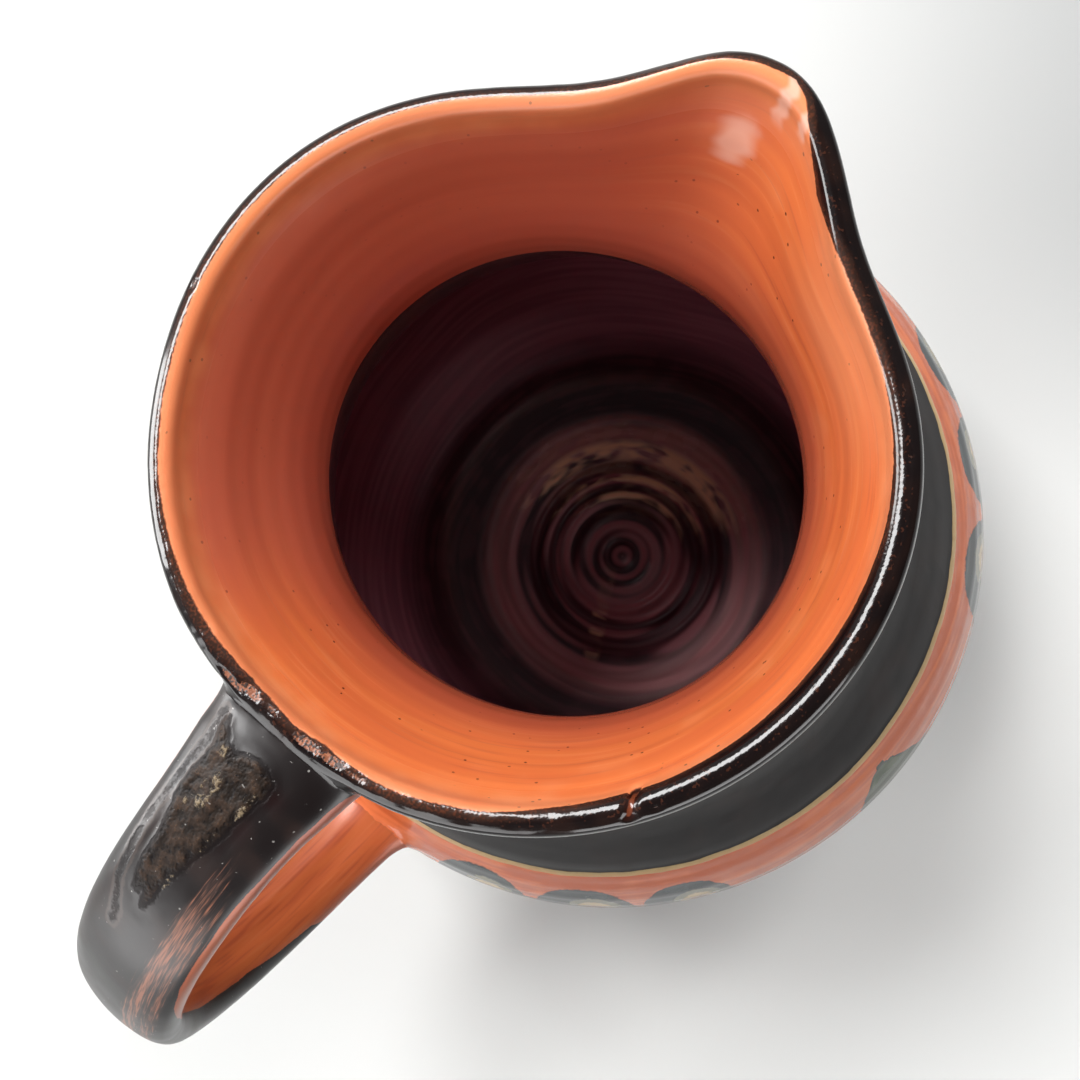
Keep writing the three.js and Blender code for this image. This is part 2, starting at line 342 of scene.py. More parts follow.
# ---- the pulled strap handle ----
def handle_line():
    pts = [
        (HANDLE_ROOT_R - 6, HANDLE_TOP_Z - 3.4), (HANDLE_ROOT_R + 11, HANDLE_TOP_Z), (HANDLE_OUT * 0.64, HANDLE_TOP_Z - 0.6),
        (HANDLE_OUT * 0.785, HANDLE_TOP_Z - 7.4), (HANDLE_OUT * 0.915, HANDLE_OUT_Z + 34), (HANDLE_OUT, HANDLE_OUT_Z + 11.5),
        (HANDLE_OUT, HANDLE_OUT_Z - 11.5), (HANDLE_OUT * 0.93, HANDLE_OUT_Z - 32), (HANDLE_OUT * 0.815, HANDLE_FOOT_Z + 11.4),
        (HANDLE_FOOT_R, HANDLE_FOOT_Z), (HANDLE_FOOT_R - 7, HANDLE_FOOT_Z - 3.4),
    ]
    poly = cubic([(-r, z) for r, z in pts], 0.2)
    return poly, along(poly)


HLINE, HLEN = handle_line()
HLONG = float(HLEN[-1])
_t = np.gradient(HLINE, axis=0)
HTAN = _t / np.linalg.norm(_t, axis=1)[:, None]


def strap(l, phi):
    """A point of the strap's surface: l along it in mm, phi round it (90 deg is the outer face's middle, 0 the +Y edge)."""
    l, phi = np.broadcast_arrays(np.asarray(l, float), np.asarray(phi, float))
    cx, cz = np.interp(l, HLEN, HLINE[:, 0]), np.interp(l, HLEN, HLINE[:, 1])
    dx, dz = np.interp(l, HLEN, HTAN[:, 0]), np.interp(l, HLEN, HTAN[:, 1])
    s = l / HLONG
    w = HANDLE_W - 1.8 * smooth(s, 0.3, 0.6) + 8 * bell(s, 0, 0.09) + 5 * bell(s, 1, 0.1)
    h = HANDLE_T + 2.6 * bell(s, 0, 0.08) + 3 * bell(s, 1, 0.1)
    w = w + 0.35 * noise(l / 34, 0.3, 0.7, 31)
    cu = np.sign(np.cos(phi)) * np.abs(np.cos(phi)) ** 0.86
    sv = np.sign(np.sin(phi)) * np.abs(np.sin(phi)) ** 0.86
    # shallow flutes that the pulling hand leaves along the inner face
    inner = np.clip(-sv, 0, 1)
    v = sv * h / 2 + inner * 0.32 * (bell(cu, 0.32, 0.16) + bell(cu, -0.3, 0.18)) + 0.12 * noise(l / 21, cu * 2.2, 0.2, 33) * np.abs(sv)
    return np.stack([cx + dz * v, cu * w / 2 + HANDLE_BOW * np.sin(math.pi * s), cz - dx * v], -1)


def handle_mesh(sides=72):
    ls = []
    l = 0.0
    while l < HLONG - 0.4:
        ls.append(l)
        l += 1.05 if l < 0.50 * HLONG else 2.1
    ls.append(HLONG)
    phi = TAU * np.arange(sides) / sides
    L, P = np.meshgrid(np.array(ls), phi, indexing="ij")
    p = strap(L, P).reshape(-1, 3)
    faces = []
    n = len(ls)
    for i in range(n - 1):
        for k in range(sides):
            a, b = i * sides + k, i * sides + (k + 1) % sides
            faces.append((a, a + sides, b + sides, b))
    faces.append(tuple(range(sides)))
    faces.append(tuple((n - 1) * sides + k for k in range(sides))[::-1])
    return p, faces


def strap_coords(p):
    """(l, phi, across) of points on the strap."""
    q = p[:, [0, 2]]
    best = np.full(len(p), 1e18)
    idx = np.zeros(len(p), int)
    for k in range(0, len(HLINE), 4):
        d = (q[:, 0] - HLINE[k, 0]) ** 2 + (q[:, 1] - HLINE[k, 1]) ** 2
        m = d < best
        best[m] = d[m]
        idx[m] = k
    d = q - HLINE[idx]
    t = HTAN[idx]
    l = HLEN[idx] + (d * t).sum(1)
    nrm = np.stack([t[:, 1], -t[:, 0]], -1)
    v = (d * nrm).sum(1)
    s = l / HLONG
    w = HANDLE_W - 1.8 * smooth(s, 0.3, 0.6) + 8 * bell(s, 0, 0.09) + 5 * bell(s, 1, 0.1)
    h = HANDLE_T + 2.6 * bell(s, 0, 0.08) + 3 * bell(s, 1, 0.1)
    cu = np.clip((p[:, 1] - HANDLE_BOW * np.sin(math.pi * np.clip(s, 0, 1))) / (w / 2), -1, 1)
    sv = np.clip(v / (h / 2), -1, 1)
    c = np.sign(cu) * np.abs(cu) ** (1 / 0.86)
    sn = np.sign(sv) * np.abs(sv) ** (1 / 0.86)
    return l, np.arctan2(sn, c), cu


def core_mesh():
    """Everything inside the middle of the wall: it trims the handle's two roots."""
    prof = [(0, 20), (float(belly(24)) - 3, 24), (float(belly(36)) - 3, 36), (float(belly(48)) - 3, 48), (float(belly(60)) - 3, 60),
            (BELLY_R - 3, BELLY_Z), (float(belly(81)) - 3, 81), (float(belly(89)) - 3, 89), (float(belly(97)) - 3, 97)]
    prof += [(r - WALL / 2, z) for r, z in UPPER[:5]]
    prof += [(NECK_R + 5.6 - WALL / 2, RIM_BEAD_Z - 10.5), (RIM_R - RIM_WALL / 2, RIM_BEAD_Z), (RIM_R - RIM_WALL / 2, RIM_Z + 12), (0, RIM_Z + 12)]
    n = 144
    a = -math.pi + TAU * np.arange(n) / n
    verts = [np.array([[0, 0, 20.0]])]
    for r, z in prof[1:-1]:
        verts.append(shape(np.full(n, float(r)), a, np.full(n, float(z))))
    verts.append(np.array([[0, 0, RIM_Z + 12.0]]))
    faces = []
    m = len(prof) - 2
    for j in range(n):
        k = (j + 1) % n
        faces.append((0, 1 + k, 1 + j))
        for i in range(m - 1):
            faces.append((1 + i * n + j, 1 + i * n + k, 1 + (i + 1) * n + k, 1 + (i + 1) * n + j))
        faces.append((1 + (m - 1) * n + j, 1 + (m - 1) * n + k, 1 + m * n))
    return np.concatenate(verts), faces


# ---- painted and worn areas, as fields over the surface ----
# inner edge of the dark rim glaze: (azimuth in degrees, s in mm)
RIM_EDGE = [
    (-180, -1.5), (-174, -2.2), (-170, -1.7), (-165, -1.1), (-160, -0.8), (-152, -1.1), (-146, -1.2), (-140, -2), (-135, -2.5),
    (-130, -3), (-125, -3.5), (-120, -3.4), (-115, -3.8), (-110, -4.2), (-104, -4.5), (-98, -4.9), (-92, -5.1), (-84, -4.8),
    (-78, -4.5), (-73, -3.8), (-67, -2.9), (-60, -2.6), (-50, -2.3), (-40, -1.9), (-30, -1.6), (-24, -1.8), (-20, -2.5),
    (-16, -3.8), (-12.5, -4.7), (-9, -3.6), (-6, -2), (-3, -0.3), (0, 0.8), (3, 0.2), (10, 0.1), (18, 0.2),
    (40, 0), (90, -0.2), (135, -0.3), (146, -0.7), (154, -1.03), (162, -1.3), (170, -2.2), (176, -2), (180, -1.5),
]
# places where the rim's glaze is chipped to the clay: (azimuth, s, half width in degrees, half height, depth)
CHIPS = [
    (168.5, 0.9, 3.2, 0.9, 0.55), (171.5, -0.4, 2.4, 1.0, 0.6), (175.5, -0.9, 2.2, 0.8, 0.35), (-176.5, -0.5, 3.4, 1.1, 0.5),
    (-171.5, -0.7, 2.6, 1.0, 0.55), (-167.5, -0.2, 2.2, 0.8, 0.35), (103.5, 0.9, 1.3, 0.6, 0.35), (-121.5, 1.1, 0.7, 0.4, 0.3),
    (-55.5, 0.3, 1.6, 0.5, 0.3), (-46.0, 0.8, 2.0, 0.5, 0.25),
]
NOTCH = (-124.4, -2.2)
PITS = [(-43.5, -4.1, 0.35), (-37.0, -3.6, 0.5), (-35.9, -3.4, 0.4), (-31.8, -5.0, 0.3), (-19.5, -6.9, 0.3), (39.5, -2.2, 0.35),
        (-89.2, -9.2, 0.5), (-79.0, -7.4, 0.3), (-94.5, -7.7, 0.3), (-179.3, -6.6, 0.4), (-177.2, -7.0, 0.35), (178.6, -6.2, 0.3)]

# burst glaze on the handle: outline and crack in (mm along the strap, degrees round it)
BLISTER = [
    (16.7, 104), (15.5, 94), (15.8, 85), (16.8, 76), (16.2, 67), (15, 61), (13.4, 54), (15.2, 52.5), (17.6, 57), (20, 58), (23, 55),
    (25.5, 54), (27.5, 56.5), (29.4, 60), (32, 63.5), (36.7, 65), (40.2, 67.5), (42.6, 73), (41.0, 79), (41.8, 83), (44.4, 85.6),
    (41, 87.3), (36.7, 90), (34, 92.6), (31, 95.5), (27, 99), (24, 101), (20.5, 103.5),
]
CRACK = [(13.2, 46.5), (15, 44.5), (17.5, 49), (20, 46.2), (23, 44.8), (25.5, 44), (28, 43), (31, 42), (34, 43), (36, 44.3), (38, 46.5),
         (40, 50), (42.6, 52.5), (44.2, 56), (45.6, 61), (48, 68), (50.5, 70)]
CURLS = [  # pale curled flakes: (l, phi, half length, half width in degrees, ring)
    (23.2, 77, 2.9, 5.5, 1), (20.6, 98.5, 2.0, 2.4, 1), (17.4, 68, 1.0, 3.4, 0), (29.0, 97, 3.0, 1.5, 0), (33.0, 93.0, 2.2, 1.2, 0),
    (26.5, 67.5, 1.5, 2.0, 1), (22.6, 101, 1.2, 2.4, 0), (37.5, 89.5, 1.4, 0.9, 0),
]
STRAP_MM = 0.155  # mm round the strap for one degree, on its broad face

# painted eyes in threes between leaves, on the belly band
EYE_Z, EYE_W, EYE_H = 80.5, 11.6, 17.2
EYES = [(g + d) for g in (-143.3, -41.5, 50.0, 143.0) for d in (-16.4, 0.0, 15.6)]
LEAVES = [-91.0, 4.0, 96.5]
BAND_LOW = 46.0


def segment_distance(p, q, loop):
    """Distance of points p to the polyline q."""
    best = np.full(len(p), 1e9)
    n = len(q) if loop else len(q) - 1
    for k in range(n):
        a, b = q[k], q[(k + 1) % len(q)]
        d = b - a
        t = np.clip(((p - a) @ d) / max(1e-9, d @ d), 0, 1)
        best = np.minimum(best, np.linalg.norm(p - a - t[:, None] * d, axis=1))
    return best


def inside_polygon(p, q):
    c = np.zeros(len(p), bool)
    for k in range(len(q)):
        (x0, y0), (x1, y1) = q[k - 1], q[k]
        hit = ((y0 > p[:, 1]) != (y1 > p[:, 1])) & (p[:, 0] < (x1 - x0) * (p[:, 1] - y0) / (y1 - y0 + 1e-12) + x0)
        c ^= hit
    return c


def strap_fields(l, phi):
    """Signed distances in mm on the strap, from its own coordinates."""
    deg = np.degrees(phi)
    deg = np.where(deg < -90, deg + 360, deg)
    k = STRAP_MM
    p = np.stack([l, deg * k], -1)
    poly = np.array(BLISTER, float) * (1, k)
    jag = 0.30 * fractal(l / 1.9, deg * k / 1.6, 0.4, 71, 3)
    blister = np.where(inside_polygon(p, poly), 1, -1) * segment_distance(p, poly, True) + jag
    crack = segment_distance(p, np.array(CRACK, float) * (1, k), False) + 0.9 * jag
    curl = np.full(len(l), -9.0)
    for cl, cd, a, b, ring in CURLS:
        q = np.sqrt(((l - cl) / a) ** 2 + ((deg - cd) / b) ** 2) + 0.35 * fractal(l / 0.9, deg * k / 0.8, 2.2, 77, 2)
        m = min(a, b * k)
        curl = np.maximum(curl, np.where(ring, (0.30 - np.abs(q - 0.85)) * m * 1.2, (1 - q) * m))
    # the orange inner face: its limits round the strap change along it
    lo = np.interp(l, [0, 45, 62, 74, 90, 130, 152, 158, 200], [155, 155, 160, 188, 222, 224, 205, 172, 170])
    hi = np.interp(l, [0, 60, 120, 160, 200], [372, 370, 362, 366, 372])
    d2 = np.where(np.degrees(phi) < 90, np.degrees(phi) + 360, np.degrees(phi))
    wob = 3.5 * noise(l / 9.0, 0.2, 0.9, 61) + 1.6 * noise(l / 2.6, 0.5, 0.1, 62)
    orange = np.minimum(d2 - lo - wob, hi - d2 + wob) * k
    # worn strands on the outer face beside the inner edge
    path = np.interp(l, [20, 27, 40, 54, 70, 88, 110, 135], [125, 122, 118, 117, 112, 106, 100, 96])
    wear = bell(deg, path, 9) * smooth(l, 22, 44) * (1 - smooth(l, 104, 132)) + 0.75 * bell(deg, path + 22, 11) * smooth(l, 27, 46) * (1 - smooth(l, 92, 118))
    smudge = bell(l, 18.2, 1.6) * bell(deg, 112, 8) + bell(l, 24.6, 2.0) * bell(deg, 109, 6) + 0.7 * bell(l, 28.5, 1.2) * bell(deg, 103.5, 3)
    return blister, crack, curl, orange, wear, smudge


def rim_edge(az):
    a = np.array(RIM_EDGE, float)
    x = wrap(az)
    return np.interp(x, a[:, 0], a[:, 1])


def chip_field(az, s):
    out = np.zeros(np.shape(az))
    for a, c, w, h, d in CHIPS:
        q = (wrap(az - a) / w) ** 2 + ((s - c) / h) ** 2
        out = np.maximum(out, np.clip(1.25 - q, 0, 1) * d)
    return out


def belly_fields(az, z):
    """Shape values of the painted eyes and leaves: 1 on their outline, 0 in the middle."""
    eye = np.full(np.shape(az), 9.0)
    heart = np.full(np.shape(az), 9.0)
    for k, c in enumerate(EYES):
        w, h = EYE_W * (1 + 0.05 * math.sin(k * 2.4)), EYE_H * (1 + 0.05 * math.cos(k * 1.9))
        u, v = np.radians(wrap(az - c)) * 92, z - EYE_Z - 0.8 * math.sin(k * 3.1)
        q = (np.abs(u / w) ** 2.3 + np.abs(v / h) ** 2.3) ** (1 / 2.3)
        m = q < eye
        eye = np.where(m, q, eye)
        q2 = np.sqrt(((u - 2.4) / (w * 0.60)) ** 2 + ((v - 0.4) / (h * 0.68)) ** 2)
        heart = np.minimum(heart, q2)
    leaf = np.full(np.shape(az), 9.0)
    vein = np.full(np.shape(az), 9.0)
    for k, c in enumerate(LEAVES):
        u, v = np.radians(wrap(az - c)) * 92, z - 79
        u = u + 1.6 * np.sin(v / 9 + k)
        half = 12.0 * np.clip(1 - np.abs(v / 20.5) ** 1.8, 0.02, 1)
        q = np.maximum(np.abs(u) / half, np.abs(v / 20.5))
        leaf = np.minimum(leaf, q)
        vein = np.minimum(vein, np.where(np.abs(v) < 19, np.minimum(np.abs(u), 0.7 + np.abs(((v - 0.9 * np.abs(u)) / 5.2 + 0.5) % 1 - 0.5) * 4.2), 9.0))
    return eye, heart, leaf, vein


def unshape(p):
    """Azimuth and profile (r, z) of points of the wall, without the lip's pull."""
    a = np.arctan2(p[:, 1], p[:, 0])
    rp = np.hypot(p[:, 0], p[:, 1])
    out, up = rim_shift(a)
    z = p[:, 2].copy()
    r = rp.copy()
    for _ in range(8):
        x = (z - (NECK_Z - 4)) / (RIM_BEAD_Z - (NECK_Z - 4))
        t = np.minimum(0.5 * (x + np.sqrt(x * x + 0.0036)), 1.0)
        oval = bell(z, NECK_Z, 20)
        r = (rp - np.where(rp > 5, out * t ** 1.35, 0)) / (1 - THROAT_OVAL * oval * np.cos(2 * (a - math.radians(SPOUT_ANGLE))))
        z = p[:, 2] - up * t ** 2 * np.minimum(1, np.clip(r, 0, None) / 30)
    return a, r, z


# ---- Blender meshes ----
def mesh_object(name, verts, faces, slot=0):
    me = bpy.data.meshes.new(name)
    me.from_pydata([tuple(v) for v in np.asarray(verts)], [], [tuple(int(i) for i in f) for f in faces])
    me.materials.append(None)
    me.materials.append(None)
    me.polygons.foreach_set("material_index", np.full(len(me.polygons), slot, np.int32))
    me.update()
    ob = bpy.data.objects.new(name, me)
    bpy.context.scene.collection.objects.link(ob)
    return ob


def combine(ob, other, operation):
    mod = ob.modifiers.new("join", "BOOLEAN")
    mod.operation = operation
    mod.object = other
    mod.solver = "MANIFOLD"
    mod.material_mode = "INDEX"
    bpy.context.view_layer.update()
    dg = bpy.context.evaluated_depsgraph_get()
    me = bpy.data.meshes.new_from_object(ob.evaluated_get(dg))
    ob.modifiers.clear()
    ob.data = me
    other_data = other.data
    bpy.data.objects.remove(other)
    bpy.data.meshes.remove(other_data)
    return ob


def build_form():
    """The jug's closed surface in mm: points, faces and which faces came from the strap."""
    wall = mesh_object("jug_wall", *wall_mesh(), slot=0)
    strap_ob = mesh_object("jug_strap", *handle_mesh(), slot=1)
    core = mesh_object("jug_core", *core_mesh(), slot=1)
    combine(strap_ob, core, "DIFFERENCE")
    combine(wall, strap_ob, "UNION")
    bm = bmesh.new()
    bm.from_mesh(wall.data)
    bmesh.ops.triangulate(bm, faces=[f for f in bm.faces if len(f.verts) > 4])
    bmesh.ops.dissolve_degenerate(bm, dist=0.004, edges=bm.edges[:])
    bmesh.ops.triangulate(bm, faces=[f for f in bm.faces if len(f.verts) > 4])
    bm.verts.ensure_lookup_table()
    verts = np.array([v.co[:] for v in bm.verts])
    faces = [tuple(v.index for v in f.verts) for f in bm.faces]
    on_strap = np.array([f.material_index == 1 for f in bm.faces])
    bad = sum(1 for e in bm.edges if len(e.link_faces) != 2)
    bm.free()
    data = wall.data
    bpy.data.objects.remove(wall)
    bpy.data.meshes.remove(data)
    return verts, faces, on_strap, bad


def edges_of(faces):
    e = set()
    for f in faces:
        for i in range(len(f)):
            a, b = f[i - 1], f[i]
            e.add((a, b) if a < b else (b, a))
    return np.array(sorted(e))


def vertex_normals(v, faces):
    n = np.zeros_like(v)
    tri = []
    for f in faces:
        tri.append(f[:3])
        if len(f) == 4:
            tri.append((f[0], f[2], f[3]))
    t = np.array(tri)
    c = np.cross(v[t[:, 1]] - v[t[:, 0]], v[t[:, 2]] - v[t[:, 0]])
    for k in range(3):
        np.add.at(n, t[:, k], c)
    return n / np.maximum(1e-12, np.linalg.norm(n, axis=1))[:, None]


V, FACES, ON_STRAP, OPEN_EDGES = build_form()
EDGES = edges_of(FACES)
n_v = len(V)

# which points are on the wall, on the strap, or on the seam between them
flat = np.concatenate([np.array(f) for f in FACES])
owner = np.repeat(np.arange(len(FACES)), [len(f) for f in FACES])
cnt = np.bincount(flat, minlength=n_v)
strap_share = np.bincount(flat, weights=ON_STRAP[owner].astype(float), minlength=n_v) / np.maximum(1, cnt)
seam = (strap_share > 0) & (strap_share < 1)

# soften the seam where the strap was pressed onto the wall
tree = KDTree(int(seam.sum()))
for k, p in enumerate(V[seam]):
    tree.insert(p, k)
tree.balance()
near = np.full(n_v, 99.0)
for k in np.nonzero((V[:, 0] < -30) & (np.abs(V[:, 1]) < 40))[0]:
    near[k] = tree.find(V[k])[2]
REACH = 6.5
radius_xy = np.hypot(V[:, 0], V[:, 1])
_, r_u, z_u = unshape(V)
outside_wall = (strap_share == 0) & (r_u < np.interp(z_u, OUT_Z, OUT_R) - 1.6)
weight = np.clip(1 - near / REACH, 0, 1) ** 0.8
weight[outside_wall] = 0
weight *= 1 - smooth(z_u, 207.6, 209.2)
degree = np.bincount(EDGES.ravel(), minlength=n_v).astype(float)
local = np.nonzero(weight > 0)[0]
mask = np.zeros(n_v, bool)
mask[local] = True
le = EDGES[mask[EDGES[:, 0]] | mask[EDGES[:, 1]]]


def relax(field, w, steps):
    """Averages a field with its neighbours, by a weight at each point."""
    f = field.copy()
    shape1 = (n_v,) + f.shape[1:]
    for _ in range(steps):
        acc = np.zeros(shape1)
        np.add.at(acc, le[:, 0], f[le[:, 1]])
        np.add.at(acc, le[:, 1], f[le[:, 0]])
        mean = acc[local] / (degree[local][:, None] if f.ndim > 1 else degree[local])
        ww = w[local][:, None] if f.ndim > 1 else w[local]
        f[local] += ww * (mean - f[local])
    return f


V = relax(V, 0.85 * weight, 26)
strap_mask = relax(strap_share, np.clip(weight * 1.2, 0, 1), 5)

# coordinates on the profile and on the strap
AZ, R_U, Z_U = unshape(V)
ptree = KDTree(len(PROFILE))
for k, (r, z) in enumerate(PROFILE):
    ptree.insert((r, z, 0), k)
ptree.balance()
S = np.zeros(n_v)
for k in range(n_v):
    S[k] = PROFILE_S[ptree.find((R_U[k], Z_U[k], 0))[1]]
UNDER = (V[:, 2] < 0.5) & (R_U < FOOT_R + 1.3)
S = np.where(UNDER, S_FOOT + 4 + (FOOT_R + 1.3 - R_U), S)
DEG = np.degrees(AZ)
L, PHI, CU = strap_coords(V)
f_blister, f_crack, f_curl, f_orange, f_wear, f_smudge = strap_fields(L, PHI)
off = strap_share < 0.01
for f in (f_blister, f_curl):
    f[off] = -9
f_crack[off] = 9
f_wear[off] = 0
f_smudge[off] = 0

# relief: the rough crest, its chips and notch, the burst glaze, a dimpled glaze
N = vertex_normals(V, FACES)
X, Y, Z = V.T
crest = bell(S, -0.3, 2.0) * (1 - strap_mask)
side = smooth(np.abs(wrap(DEG - 180)), 60, 20)
rough = fractal(X / 1.5, Y / 1.5, Z / 1.5, 41, 3)
lift = crest * (0.035 + 0.20 * side) * rough
lift = lift - chip_field(DEG, S) * (1 + 0.6 * rough) * (1 - strap_mask)
nt = np.clip(1 - ((wrap(DEG - NOTCH[0]) + 0.35 * (S - NOTCH[1])) / 1.15) ** 2, 0, 1) * smooth(S, -5.6, -4.0) * (1 - smooth(S, 1.2, 2.6))
lift = lift - 0.75 * nt * (1 - strap_mask)
lift = lift - 0.12 * bell(S, 1.25, 0.45) * (1 - strap_mask)  # the groove where the dipped rim's glaze stops
bn = fractal(X / 1.3, Y / 1.3, Z / 1.3, 51, 3)
inside = smooth(f_blister, -0.25, 0.35)
lift = lift + inside * (0.10 + 0.26 * bn) + 0.30 * bell(f_blister, 0.05, 0.42) - 0.16 * bell(f_blister, -0.75, 0.4)
lift = lift + 0.13 * bell(f_crack, 0.9, 0.55) * (f_crack < 3) - 0.10 * bell(f_crack, 0, 0.45) + 0.22 * smooth(f_curl, -0.2, 0.3)
lift = lift + 0.03 * noise(X / 3.4, Y / 3.4, Z / 3.4, 57) * strap_mask
lift = lift - 0.10 * bell(near, 2.2, 0.9) * (S > 0) * (strap_share < 0.5)
V = V + N * lift[:, None]
V = np.where((UNDER | (V[:, 2] < 0.02))[:, None] & np.array([[False, False, True]]), np.maximum(V, 0), V)

eye, heart, leaf, vein = belly_fields(DEG, V[:, 2])


# ---- the finished piece ----
def make_jug():
    me = bpy.data.meshes.new("jug_glazed")
    me.from_pydata([tuple(p) for p in V / 1000.0], [], FACES)
    me.update()
    me.polygons.foreach_set("use_smooth", np.ones(len(me.polygons), bool))
    wide = noise(X / 46, Y / 46, S / 6.5, 81)
    fields = {
        "prof": S, "edge": S - rim_edge(DEG), "chip": chip_field(DEG, S) * (1 - strap_mask), "notch": nt,
        "blister": f_blister, "crack": f_crack, "curl": f_curl, "inner_face": f_orange, "wear": f_wear, "smudge": f_smudge,
        "eye": eye, "heart": heart, "leaf": leaf, "vein": vein, "along": L, "across": CU,
        "low": fractal(X / 4.6, Y / 4.6, Z / 4.6, 83, 2), "wide": wide, "turns": S / 1.7 + 1.6 * noise(X / 40, Y / 40, S / 60, 85),
        "cloud": fractal(X / 24, Y / 24, Z / 24, 87, 2),
    }
    for name, values in fields.items():
        at = me.attributes.new(name, "FLOAT", "POINT")
        at.data.foreach_set("value", np.asarray(values, np.float32))

    # one map: outer strip, inner strip, strap strip, two discs
    uv = me.uv_layers.new(name="OFBake")
    loops = np.zeros(len(me.loops), np.int64)
    me.loops.foreach_get("vertex_index", loops)
    poly = np.repeat(np.arange(len(FACES)), [len(f) for f in FACES])
    count = np.array([len(f) for f in FACES])

    def face_mean(v):
        return np.bincount(poly, weights=v[loops], minlength=len(FACES)) / count

    s_mean, r_mean = face_mean(S), face_mean(R_U)
    z_mean = face_mean(Z_U)
    under = face_mean(UNDER.astype(float)) > 0.99
    fl = (s_mean < -1) & (z_mean < 10.5) & (r_mean < 47)
    out = np.zeros((len(loops), 2))
    first = np.concatenate([[0], np.cumsum(count)[:-1]])

    def unroll(value, period):
        """Corner values of each face brought to within half a turn of each other."""
        v = value[loops]
        ref = v[first][poly]
        return v + period * np.round((ref - v) / period)

    az = unroll(DEG, 360.0)
    mean_az = np.bincount(poly, weights=az, minlength=len(FACES)) / count
    az = az - 360.0 * np.floor((mean_az[poly] + 180.0) / 360.0)
    u = 0.012 + 0.972 * (az + 180.0) / 360.0
    s = S[loops]
    v_out = 0.012 + 0.418 * (S_FOOT + 6 - np.clip(s, 0, None)) / (S_FOOT + 6)
    s_in_end = -float(in_s(10.2)) + 12
    v_in = 0.448 + 0.292 * np.clip(-s, 0, None) / s_in_end
    out[:, 0] = u
    out[:, 1] = np.where((s_mean >= 0)[poly], v_out, v_in)
    ph = np.degrees(PHI)
    ph = np.where(ph < -80, ph + 360, ph)
    pu = unroll(ph, 360.0)
    mean_ph = np.bincount(poly, weights=pu, minlength=len(FACES)) / count
    pu = pu - 360.0 * np.floor((mean_ph[poly] + 80.0) / 360.0)
    sm = ON_STRAP[poly]
    out[sm, 0] = 0.012 + 0.66 * np.clip(L[loops][sm] + 4, 0, None) / (HLONG + 8)
    out[sm, 1] = 0.756 + 0.218 * (pu[sm] + 80.0) / 362.0
    xu, yu = R_U * np.cos(AZ), R_U * np.sin(AZ)
    d = fl[poly] & ~sm
    out[d, 0] = 0.795 + 0.102 * xu[loops][d] / 52.0
    out[d, 1] = 0.868 + 0.102 * yu[loops][d] / 52.0
    d = under[poly]
    out[d, 0] = 0.945 + 0.042 * V[loops][d, 0] / 54.0
    out[d, 1] = 0.868 + 0.042 * V[loops][d, 1] / 54.0
    uv.data.foreach_set("uv", out.ravel().astype(np.float32))
    # which glaze each face takes: 0 outside, 1 lip, 2 inside, 3 strap, 4 neck, 5 floor of the inside
    zone = np.where(s_mean > 5.0, 0, np.where(s_mean > float(in_s(165)), 1, 2))
    zone = np.where((zone == 1) & (s_mean < -8.5), 4, zone)
    zone = np.where((zone == 2) & (z_mean < 16) & (r_mean < 60), 5, zone)
    zone = np.where(ON_STRAP, 3, zone)
    me.polygons.foreach_set("material_index", np.zeros(len(me.polygons), np.int32))
    ob = bpy.data.objects.new("glazed_jug", me)
    bpy.context.scene.collection.objects.link(ob)
    return ob, zone


# ---- materials ----
class Val:
    """A node socket that can be used in sums."""

    def __init__(self, g, s):
        self.g, self.s = g, s

    def __add__(self, o):
        return self.g.math("ADD", self, o)

    def __radd__(self, o):
        return self.g.math("ADD", o, self)

    def __sub__(self, o):
        return self.g.math("SUBTRACT", self, o)

    def __rsub__(self, o):
        return self.g.math("SUBTRACT", o, self)

    def __mul__(self, o):
        return self.g.math("MULTIPLY", self, o)

    def __rmul__(self, o):
        return self.g.math("MULTIPLY", o, self)

    def __truediv__(self, o):
        return self.g.math("DIVIDE", self, o)


